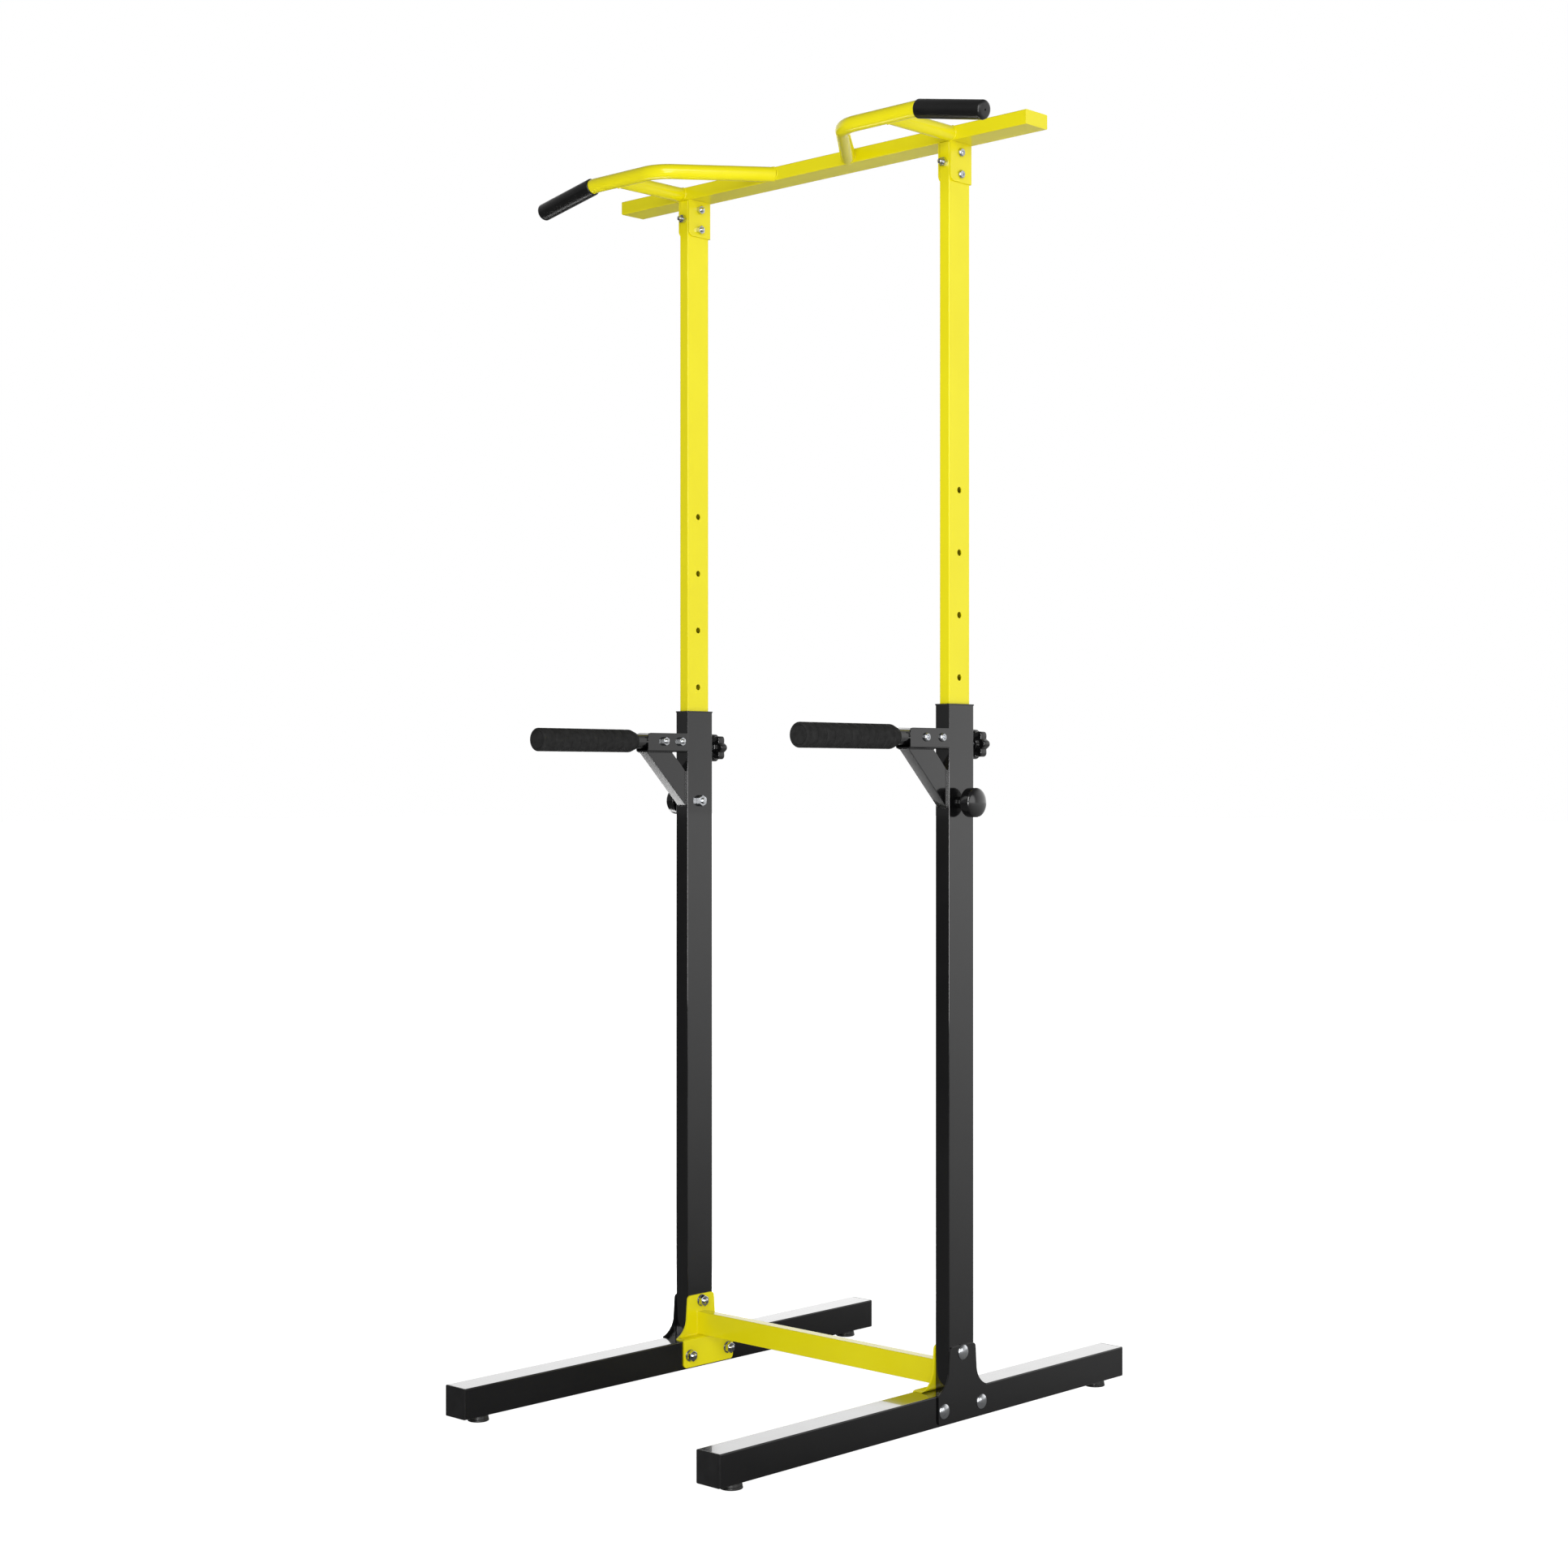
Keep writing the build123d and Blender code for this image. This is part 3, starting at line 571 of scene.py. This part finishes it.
def boltSet(node, size):
    # heads and threaded ends, with a plain shank between
    look = boltSizes[size]
    heads, ends, shanks = [], [], []
    for low, high in groups(node):
        k, sign = headAxis(low, high)
        axis = Vector([sign if i == k else 0.0 for i in range(3)])
        middle = (low + high) / 2
        outer = high[k] if sign > 0 else low[k]
        inner = low[k] if sign > 0 else high[k]
        seat = middle.copy()
        seat[k] = outer - sign * look["headH"] * mm
        tip = middle.copy()
        tip[k] = inner
        heads.append((seat, axis))
        ends.append((tip + axis * endLength * mm, -axis))
        plain = (seat - tip).length - endLength * mm
        shank = [(0, 0), (look["r"] * mm, 0), (look["r"] * mm, plain), (0, plain)]
        shanks.append((shank, tip + axis * endLength * mm, axis))
    headMesh = grown(node + "Heads", setFasteners, pointsGuide(heads), {
        "Master": masters[look["head"]], "Radius": look["headR"] * mm, "Height": look["headH"] * mm,
        "Finish": finishes["zinc_steel"]})
    endMesh = grown(node + "Ends", setFasteners, pointsGuide(ends), {
        "Master": masters["end"], "Radius": look["r"] * mm, "Height": endLength * mm,
        "Finish": finishes["zinc_steel"]})
    shankMesh = turnedMesh(node + "Shanks", shanks, 28)
    return joined(node, [headMesh, endMesh, shankMesh])


nutFace = {"clamp_nuts": 1.0}   # nuts along Y face the front, and the clamp nuts the back


def nutSet(node, size, radiusKey="nutR", heightKey="nutH", master="nut"):
    look = boltSizes[size]
    places = []
    for low, high in groups(node):
        span = high - low
        k = min(range(3), key=lambda i: span[i])
        middle = (low + high) / 2
        sign = -math.copysign(1.0, middle[0]) if k == 0 else nutFace.get(node, -1.0)
        axis = Vector([sign if i == k else 0.0 for i in range(3)])
        seat = middle.copy()
        seat[k] = low[k] if sign > 0 else high[k]
        places.append((seat, axis))
    return grown(node, setFasteners, pointsGuide(places), {
        "Master": masters[master], "Radius": look[radiusKey] * mm, "Height": look[heightKey] * mm,
        "Finish": finishes["zinc_steel"]})


for node, size in (("base_bolts", "M10"), ("dip_bolts", "M8"), ("bracket_bolts", "M8")):
    newPiece(node.replace("_b", "B"), boltSet(node, size), node)
for node, size in (("base_nuts", "M10"), ("dip_nuts", "M8"), ("bracket_nuts", "M8"), ("pin_nuts", "M10"),
                   ("clamp_nuts", "M10")):
    newPiece(node.replace("_n", "N"), nutSet(node, size), node)
newPiece("baseWashers", nutSet("base_washers", "M10", "washerR", "washerH", "washer"), "base_washers")
print("fasteners set")


# dip grips: moulded sleeves with ring grooves

dipGrip = {"radius": 19.6, "bore": 13.4, "length": 219.0, "edge": 2.6, "grooves": 10, "pitch": 19.2,
           "first": 25.0, "depth": 1.1, "halfWidth": 1.5, "taper": 12.0, "mouth": 14.6, "rimRing": 0.8,
           "dish": 0.5, "plug": 14.0}
tubeSteps = {"round": 64, "bend": 24, "straight": 1}


def dipGripProfile():
    g = dipGrip
    r = g["radius"]
    # closed front end with a shallow ring inside its rim
    points = [(0, g["dish"]), (r - 5.2, g["dish"]), (r - 4.6, g["dish"] + g["rimRing"])]
    points += [(r - 4.0, 0.35), (r - g["edge"] - 0.4, 0.0)]
    points += roundedCorner((r - g["edge"], g["edge"]), g["edge"], -90, 0, 6)
    for i in range(g["grooves"]):
        at = g["first"] + i * g["pitch"]
        w, d = g["halfWidth"], g["depth"]
        points += [(r, at - w - 0.5), (r - 0.15, at - w), (r - d * 0.8, at - w * 0.45), (r - d, at),
                   (r - d * 0.8, at + w * 0.45), (r - 0.15, at + w), (r, at + w + 0.5)]
    end = g["length"]
    points += [(r, end - g["taper"] - 2), (r - 0.3, end - g["taper"]), (g["mouth"] + 0.5, end - 0.6),
               (g["mouth"] - 0.1, end), (g["bore"], end), (g["bore"], end - g["plug"]), (0, end - g["plug"])]
    return [(a * mm, b * mm) for a, b in points]


for side in ("left", "right"):
    low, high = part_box(side + "_dip_grip")
    start = ((low.x + high.x) / 2, low.y, (low.z + high.z) / 2)
    mesh = turnedMesh(side + "DipGrip", [(dipGripProfile(), start, (0, 1, 0))], 72)
    newPiece(side + "DipGrip", mesh, side + "_dip_grip")

# straight ends of the dip handles, up to the grips
for side in ("left", "right"):
    low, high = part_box(side + "_dip_handle")
    x, z = (low.x + high.x) / 2, (low.z + high.z) / 2
    radius = (high.x - low.x) / 2
    guide = lineGuide([(x, low.y, z), (x, high.y, z)])
    mesh = grown(side + "DipTube", bendTube, guide, {
        "Tube radius": radius, "Round steps": tubeSteps["round"], "Bend steps": tubeSteps["straight"],
        "Finish": finishes["black_paint"]})
    newPiece(side + "DipTube", mesh, side + "_dip_handle")
print("dip grips turned")


# cranked top handles, their braces and grips

topHandle = {"radius": 12.6, "rootX": 89.2, "bendX": 212.3, "tipX": 367.0, "reach": 150.3, "bendRadius": 60.0,
             "tipBend": 40.0, "droop": 11.0, "gripStart": 5.0, "gripLength": 134.0, "gripRadius": 15.0,
             "gripRound": 5.5, "gripLip": 1.6, "vent": 1.5, "ventEdge": 0.4, "ventDepth": 4.0,
             "braceX": 308.4, "braceRadius": 12.5, "inBar": 8.0, "inGrip": 6.0}
barLow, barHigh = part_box("pull_up_bar")
barFront = barLow.y / mm
barMidZ = (barLow.z + barHigh.z) / 2 / mm


def handlePoints(sign):
    h = topHandle
    lineY = barFront - h["reach"]
    droop = math.radians(h["droop"])
    root = Vector((h["rootX"], barFront, barMidZ))
    bend = Vector((h["bendX"], lineY, barMidZ))
    tip = Vector((h["tipX"], lineY, barMidZ))
    along = Vector((math.cos(droop), 0, -math.sin(droop)))
    inBar = root - (bend - root).normalized() * h["inBar"]
    end = tip + along * (h["gripStart"] + h["gripLength"] - h["inGrip"])
    points = [Vector((p.x * sign, p.y, p.z)) * mm for p in (inBar, bend, tip, end)]
    gripAt = tip + along * h["gripStart"]
    return points, Vector((gripAt.x * sign, gripAt.y, gripAt.z)) * mm, Vector((along.x * sign, 0, along.z))


def topGripProfile():
    h = topHandle
    r, length, edge = h["gripRadius"], h["gripLength"], h["gripRound"]
    lip, vent, ventEdge = h["gripLip"], h["vent"], h["ventEdge"]
    points = [(0, 0.0), (h["radius"] - 0.6, 0.0), (r - lip, 0.0)]
    points += roundedCorner((r - lip, lip), lip, -90, 0, 5)
    points += roundedCorner((r - edge, length - edge), edge, 0, 90, 9)
    ventFloor = length - h["ventDepth"]
    points += [(vent + ventEdge, length), (vent, length - ventEdge), (vent, ventFloor), (0, ventFloor)]
    return [(a * mm, b * mm) for a, b in points]


for side, sign in (("left", -1), ("right", 1)):
    points, gripAt, along = handlePoints(sign)
    guide = lineGuide(points, [0.0, topHandle["bendRadius"] * mm, topHandle["tipBend"] * mm, 0.0])
    mesh = grown(side + "HandleTube", bendTube, guide, {
        "Tube radius": topHandle["radius"] * mm, "Round steps": tubeSteps["round"],
        "Bend steps": tubeSteps["bend"],
        "Finish": finishes["yellow_paint"]})
    newPiece(side + "HandleTube", mesh, side + "_handle_tube")
    mesh = turnedMesh(side + "TopGrip", [(topGripProfile(), gripAt, along)], 64)
    newPiece(side + "TopGrip", mesh, side + "_handle_grip")
    braceX = topHandle["braceX"] * sign * mm
    ends = [(braceX, (barFront - topHandle["reach"]) * mm, barMidZ * mm),
            (braceX, barFront * mm, barMidZ * mm)]
    mesh = grown(side + "HandleBrace", bendTube, lineGuide(ends), {
        "Tube radius": topHandle["braceRadius"] * mm, "Round steps": tubeSteps["round"],
        "Bend steps": tubeSteps["straight"],
        "Finish": finishes["yellow_paint"]})
    newPiece(side + "HandleBrace", mesh, side + "_handle_brace")
print("top handles bent")


# pins and side clamps

pinKnob = {"neckR": 9.5, "neckLength": 15.7, "rim": 14.3, "radius": 23.7, "height": 38.5, "foot": 0.3,
           "neckEdge": 0.8, "backEdge": 1.5}
starKnob = {"lobes": 7, "radius": 24.7, "waist": 19.4, "hubR": 11.0, "hubStart": 10.0, "discStart": 14.0,
            "end": 29.0, "edge": 2.2, "hubEdge": 0.6, "dishR": 11.0, "dishFloorR": 9.5, "dish": 0.8,
            "segments": 112}
pinStud = {"tip": 1.3}
clampStud = {"tip": 1.0, "tipShare": 0.8, "pitch": 1.5, "rootShare": 0.88}


def pinKnobProfile():
    k = pinKnob
    r, neck, rim = k["radius"], k["neckLength"], k["rim"]
    points = [(0, k["foot"]), (k["neckR"] - k["neckEdge"], k["foot"])]
    points += [(k["neckR"], k["foot"] + k["neckEdge"]), (k["neckR"], neck)]
    points += roundedCorner((r - k["backEdge"], neck + k["backEdge"]), k["backEdge"], -90, 0, 6)
    crown = k["height"] - neck - rim
    points += [(r * math.cos(math.radians(a)) if a < 90 else 0,
                neck + rim + crown * math.sin(math.radians(a))) for a in range(0, 91, 6)]
    return [(a * mm, b * mm) for a, b in points]


def starReach(angle):
    # seven round lobes with shallow valleys between them
    k = starKnob
    wave = 0.5 + 0.5 * math.cos(k["lobes"] * angle)
    return k["waist"] + (k["radius"] - k["waist"]) * wave ** 0.7


def starKnobMesh(name, origin, axis):
    k = starKnob
    form = bmesh.new()
    place = axisFrame(origin, axis)
    edge = k["edge"]
    hubR, hubStart, hubEdge = k["hubR"], k["hubStart"], k["hubEdge"]
    profile = [(0, hubStart), (hubR - hubEdge, hubStart), (hubR, hubStart + hubEdge)]
    profile += [(hubR, k["discStart"])]
    disc = [(-edge, k["discStart"])]
    disc += [(-edge + edge * math.cos(a), k["discStart"] + edge + edge * math.sin(a))
             for a in (math.radians(-90 + 15 * i) for i in range(1, 7))]
    disc += [(-edge + edge * math.cos(a), k["end"] - edge + edge * math.sin(a))
             for a in (math.radians(15 * i) for i in range(0, 7))]
    dishFloor = k["end"] - k["dish"]
    crown = [(k["dishR"], k["end"]), (k["dishFloorR"], dishFloor), (0, dishFloor)]
    offsets = {}
    rows = [(r * mm, z * mm) for r, z in profile]
    for d, z in disc:
        row = ((k["waist"] + d) * mm, z * mm)
        offsets[row] = d
        rows.append(row)
    rows += [(r * mm, z * mm) for r, z in crown]

    def lobed(angle, r, z):
        return (starReach(angle) + offsets[(r, z)]) * mm if (r, z) in offsets else r

    turnInto(form, rows, place, k["segments"], lobed)
    return meshFrom(form, name, sharpAngle=40)


for side, sign in (("left", -1), ("right", 1)):
    low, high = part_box(side + "_pin_knob")
    faceX = (low.x if sign > 0 else high.x) - sign * pinKnob["foot"] * mm
    centre = (low + high) / 2
    mesh = turnedMesh(side + "PinKnob", [(pinKnobProfile(), (faceX, centre.y, centre.z), (sign, 0, 0))], 72)
    newPiece(side + "PinKnob", mesh, side + "_pin_knob")

    low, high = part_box(side + "_pin_stud")
    radius, length = (high.z - low.z) / 2, high.x - low.x
    chamfer = pinStud["tip"] * mm
    profile = [(0, 0), (radius - chamfer, 0), (radius, chamfer), (radius, length), (0, length)]
    tip = (low.x if sign > 0 else high.x, (low.y + high.y) / 2, (low.z + high.z) / 2)
    mesh = turnedMesh(side + "PinStud", [(profile, tip, (sign, 0, 0))], 40)
    newPiece(side + "PinStud", mesh, side + "_pin_stud")

    low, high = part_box(side + "_clamp_knob")
    centre = (low + high) / 2
    start = (centre.x, low.y - starKnob["hubStart"] * mm, centre.z)
    mesh = starKnobMesh(side + "ClampKnob", start, (0, 1, 0))
    newPiece(side + "ClampKnob", mesh, side + "_clamp_knob")

    low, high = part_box(side + "_clamp_stud")
    radius, length = (high.z - low.z) / 2, high.y - low.y
    pitch, chamfer = clampStud["pitch"] * mm, clampStud["tip"] * mm
    profile = [(0, 0), (radius * clampStud["tipShare"], 0), (radius, chamfer)]
    for i in range(int((length - 2 * chamfer) / pitch)):
        at = chamfer + i * pitch
        profile += [(radius, at + pitch * 0.2), (radius * clampStud["rootShare"], at + pitch * 0.6)]
    profile += [(radius, length), (0, length)]
    start = ((low.x + high.x) / 2, low.y, (low.z + high.z) / 2)
    mesh = turnedMesh(side + "ClampStud", [(profile, start, (0, 1, 0))], 32, 50)
    newPiece(side + "ClampStud", mesh, side + "_clamp_stud")
print("pins and clamps made")


# rubber feet

footShape = {"bottomR": 17.5, "topR": 15.5, "height": 12.0, "recessR": 7.0, "recess": 7.0, "edge": 1.4,
             "groove": 4.0}


def feetMesh():
    f = footShape
    slope = (f["bottomR"] - f["topR"]) / f["height"]
    outer = [(f["recessR"], f["recess"]), (f["recessR"] + 0.4, 0.5), (f["recessR"] + 0.9, 0.0)]
    outer += [(f["bottomR"] - f["edge"], 0.0)]
    outer += [(f["bottomR"] - f["edge"] + f["edge"] * math.sin(a), f["edge"] - f["edge"] * math.cos(a))
              for a in (math.radians(18 * i) for i in range(1, 6))]
    # a fine ring groove, then the plain wall up to the rail
    outer += [(f["bottomR"] - slope * (f["groove"] - 0.4), f["groove"] - 0.4),
              (f["bottomR"] - slope * f["groove"] - 0.35, f["groove"]),
              (f["bottomR"] - slope * (f["groove"] + 0.4), f["groove"] + 0.4)]
    outer += [(f["topR"] + 0.15, f["height"] - 0.8), (f["topR"] - 0.5, f["height"])]
    profile = [(0, f["recess"])] + outer + [(0, f["height"])]
    profile = [(a * mm, b * mm) for a, b in profile]
    places = []
    for low, high in groups("rubber_feet"):
        middle = (low + high) / 2
        places.append((profile, (middle.x, middle.y, low.z), (0, 0, 1)))
    return turnedMesh("rubberFeet", places, 56)


newPiece("rubberFeet", feetMesh(), "rubber_feet")
print("feet made")


# plates, brackets and caps with the small edge radius that paint and shearing leave

softEdges = {"outer_plate": 0.6, "inner_plate": 0.6, "top_bracket": 0.7, "dip_arm": 0.5, "dip_brace": 0.8,
             "rail_end_caps": 0.7}
softLook = {"flatBelow": 1.0, "bevelAbove": 40.0, "crispAbove": 30.0, "steps": 2, "profile": 0.6}


def softened(name, node, width):
    form = bmesh.new()
    form.from_mesh(nodes[node].data)
    bmesh.ops.remove_doubles(form, verts=form.verts, dist=mergeGap["cad"])
    bmesh.ops.dissolve_limit(form, angle_limit=math.radians(softLook["flatBelow"]), verts=form.verts,
                             edges=form.edges)
    limit = math.radians(softLook["bevelAbove"])
    sharp = [edge for edge in form.edges if len(edge.link_faces) == 2 and edge.calc_face_angle(0.0) > limit]
    bmesh.ops.bevel(form, geom=sharp, offset=width * mm, offset_type="OFFSET", segments=softLook["steps"],
                    profile=softLook["profile"], affect="EDGES", clamp_overlap=True)
    piece = newPiece(name, crispMesh(form, name, softLook["crispAbove"]), node)
    weighted = piece.modifiers.new("evenShade", "WEIGHTED_NORMAL")
    weighted.keep_sharp = True


for base, width in softEdges.items():
    for side in ("left", "right"):
        words = base.split("_")
        name = side + "".join(word.capitalize() for word in words)
        softened(name, f"{side}_{base}", width)
print("plates and brackets softened")


# welds

weldLook = {"radius": 1.3, "ripple": 0.12, "rippleLength": 0.9, "braceRun": 60.0,
            "barEdge": 11.2, "steps": 40, "lift": 1.0}


def weld(name, lines, slotName, body):
    meshes = []
    for points, closed in lines:
        guide = lineGuide([Vector(p) * mm for p in points], closed=closed)
        meshes.append(grown(name, layBead, guide, {
            "Bead radius": weldLook["radius"] * mm, "Ripple": weldLook["ripple"],
            "Ripple length": weldLook["rippleLength"] * mm, "Finish": finishes[slotName]}))
    piece = bpy.data.objects.new(name, joined(name, meshes))
    bpy.context.collection.objects.link(piece)
    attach(piece, body)


def loopPoints(centre, halfWidth, halfHeight):
    # an ellipse on the bar's front face, flattened where it would pass the bar's edge
    points, limit = [], weldLook["barEdge"]
    for i in range(weldLook["steps"]):
        a = math.tau * i / weldLook["steps"]
        rise = max(-limit, min(limit, halfHeight * math.sin(a)))
        points.append(Vector(centre) + Vector((halfWidth * math.cos(a), 0, rise)))
    return points


def frameWelds(sign):
    h = topHandle
    run = Vector((h["bendX"] - h["rootX"], h["reach"], 0))
    stretch = run.length / h["reach"]
    root = loopPoints((sign * h["rootX"], barFront, barMidZ), h["radius"] * stretch, h["radius"])
    braceAtBar = loopPoints((sign * h["braceX"], barFront, barMidZ), h["braceRadius"], h["braceRadius"])
    saddle = []
    for i in range(weldLook["steps"]):
        a = math.tau * i / weldLook["steps"]
        x, z = h["braceRadius"] * math.cos(a), h["braceRadius"] * math.sin(a)
        rise = math.sqrt(max(0.0, h["radius"] ** 2 - z ** 2))
        saddle.append(Vector((sign * h["braceX"] + x, barFront - h["reach"] + rise, barMidZ + z)))
    return [(root, True), (braceAtBar, True), (saddle, True)]


def rectangleLoop(corners):
    return ([Vector(corner) for corner in corners], True)


def dipWelds(side):
    low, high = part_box(side + "_dip_brace")
    low, high = low / mm, high / mm
    nose, back = low.y, high.y
    run, top = weldLook["braceRun"], high.z
    underArm = rectangleLoop([(low.x, nose, top), (high.x, nose, top), (high.x, nose + run, top),
                              (low.x, nose + run, top)])
    onPost = rectangleLoop([(low.x, back, low.z), (high.x, back, low.z), (high.x, back, low.z + run),
                            (low.x, back, low.z + run)])
    return [underArm, onPost]


weld("topFrameWelds", frameWelds(-1) + frameWelds(1), "yellow_paint", "top_frame")
weld("dipWelds", dipWelds("left") + dipWelds("right"), "black_paint", "base")
low, high = [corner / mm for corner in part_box("crossbar")]
foot = low.z + weldLook["lift"]
crossLines = [rectangleLoop([(x, low.y, foot), (x, high.y, foot), (x, high.y, high.z), (x, low.y, high.z)])
              for x in (low.x, high.x)]
weld("crossbarWelds", crossLines, "yellow_paint", "base")
print("welds laid")


# studio: only the camera sees floor and backdrop as white; the paint mirrors a dim floor with a pool of
# light at the left, and a world that is bright at the back, with a window at the right

studio = {"floorSize": 120.0, "backdrop": 1.0, "floorGlow": 0.97, "floorShade": "#767676", "bounce": 0.60,
          "bright": 1.55, "dark": 0.20, "brightSide": (-0.454, 0.891, 0.0), "brightSpan": (-0.1, 0.92),
          "ceiling": 0.15, "ceilingSpan": (0.30, 0.8),
          "farGlow": 0.85, "glowReach": 4.0, "glowSide": (0.643, 0.766, 0.0),
          "window": 1.6, "windowSide": (1.0, 0.0, 0.0), "windowSpan": (0.84, 0.93)}
lamps = {
    "keySoftbox": {"place": (2.5, -3.3, 2.8), "aim": (0, 0, 1.2), "size": (2.2, 2.2), "watts": 80,
                   "spread": 180},
    "lowSoftbox": {"place": (2.3, -3.0, 0.7), "aim": (0, 0, 0.1), "size": (1.4, 0.8), "watts": 42,
                   "spread": 180},
    "floorLamp": {"place": (-1.27, 0.27, 0.9), "aim": (-1.27, 0.27, 0), "size": (1.3, 0.6), "watts": 48,
                  "spread": 30},
}


def paleFloor():
    half = studio["floorSize"] / 2
    mesh = bpy.data.meshes.new("studioFloor")
    corners = [(-half, -half, 0), (half, -half, 0), (half, half, 0), (-half, half, 0)]
    mesh.from_pydata(corners, [], [(0, 1, 2, 3)])
    floor = bpy.data.objects.new("studioFloor", mesh)
    bpy.context.collection.objects.link(floor)
    look = {"Base Color": linear(studio["floorShade"]), "Roughness": 0.9, "Specular IOR Level": 0.1}
    material, tree, shader, place = surfaceOf("paleFloor", look)
    # the far floor at the back right glows, as if it rose into a lit sweep: strength d / (d + reach)
    side = addNode(tree, "ShaderNodeVectorMath", {"operation": "DOT_PRODUCT"},
                   {0: place, 1: studio["glowSide"]})
    away = mathNode(tree, "MAXIMUM", side.outputs["Value"], 0.0)
    share = mathNode(tree, "DIVIDE", away, mathNode(tree, "ADD", away, studio["glowReach"]))
    sweep = whiteLight(tree, "ShaderNodeEmission", mathNode(tree, "MULTIPLY", share, studio["farGlow"]))
    # the glow shows to the camera only, and the bounce reaches diffuse rays only: gloss mirrors neither
    glow = whiteLight(tree, "ShaderNodeEmission", studio["floorGlow"])
    fill = whiteLight(tree, "ShaderNodeEmission", studio["bounce"])
    path = addNode(tree, "ShaderNodeLightPath")
    extra = addNode(tree, "ShaderNodeMixShader", links={0: path.outputs["Is Camera Ray"], 2: glow})
    soft = addNode(tree, "ShaderNodeMixShader", links={0: path.outputs["Is Diffuse Ray"], 2: fill})
    whole = shader.outputs[0]
    for light in (sweep, soft.outputs[0], extra.outputs[0]):
        whole = addNode(tree, "ShaderNodeAddShader", links={0: whole, 1: light}).outputs[0]
    output = next(node for node in tree.nodes if node.type == "OUTPUT_MATERIAL")
    tree.links.new(whole, output.inputs["Surface"])
    mesh.materials.append(material)


def softWorld():
    world = bpy.data.worlds.new("softStudio")
    bpy.context.scene.world = world
    world.use_nodes = True
    tree = world.node_tree
    tree.nodes.clear()
    direction = addNode(tree, "ShaderNodeTexCoord").outputs["Generated"]
    dot = {"operation": "DOT_PRODUCT"}
    (brightFrom, brightTo), (ceilingFrom, ceilingTo) = studio["brightSpan"], studio["ceilingSpan"]
    windowFrom, windowTo = studio["windowSpan"]
    side = addNode(tree, "ShaderNodeVectorMath", dot, {0: direction, 1: studio["brightSide"]})
    shade = addNode(tree, "ShaderNodeMapRange", links={
        "Value": side.outputs["Value"], "From Min": brightFrom, "From Max": brightTo,
        "To Min": studio["dark"], "To Max": studio["bright"]})
    split = addNode(tree, "ShaderNodeSeparateXYZ", links={0: direction})
    overhead = addNode(tree, "ShaderNodeMapRange", {"interpolation_type": "SMOOTHSTEP"}, {
        "Value": split.outputs["Z"], "From Min": ceilingFrom, "From Max": ceilingTo})
    vault = addNode(tree, "ShaderNodeMix", {"data_type": "FLOAT"}, {"Factor": overhead.outputs[0]})
    tree.links.new(shade.outputs[0], vault.inputs[2])
    vault.inputs[3].default_value = studio["ceiling"]
    # a bright window at the right, for the glints on bolt heads and knobs
    front = addNode(tree, "ShaderNodeVectorMath", dot, {0: direction, 1: studio["windowSide"]})
    window = addNode(tree, "ShaderNodeMapRange", {"interpolation_type": "SMOOTHSTEP"}, {
        "Value": front.outputs["Value"], "From Min": windowFrom, "From Max": windowTo, "To Min": 0.0,
        "To Max": studio["window"]})
    whole = mathNode(tree, "ADD", vault.outputs[0], window.outputs[0])
    seen = addNode(tree, "ShaderNodeLightPath").outputs["Is Camera Ray"]
    shown = addNode(tree, "ShaderNodeMix", {"data_type": "FLOAT"}, {"Factor": seen})
    tree.links.new(whole, shown.inputs[2])
    shown.inputs[3].default_value = studio["backdrop"]
    light = whiteLight(tree, "ShaderNodeBackground", shown.outputs[0])
    addNode(tree, "ShaderNodeOutputWorld", links={"Surface": light})


def softbox(name, look):
    lamp = bpy.data.lights.new(name, "AREA")
    lamp.shape = "RECTANGLE"
    lamp.size, lamp.size_y = look["size"]
    lamp.energy = look["watts"]
    lamp.spread = math.radians(look["spread"])
    box = bpy.data.objects.new(name, lamp)
    box.location = look["place"]
    box.rotation_euler = (Vector(look["aim"]) - Vector(look["place"])).to_track_quat("-Z", "Y").to_euler()
    box.visible_camera = False
    bpy.context.collection.objects.link(box)


paleFloor()
softWorld()
for name, look in lamps.items():
    softbox(name, look)
print("studio lit")
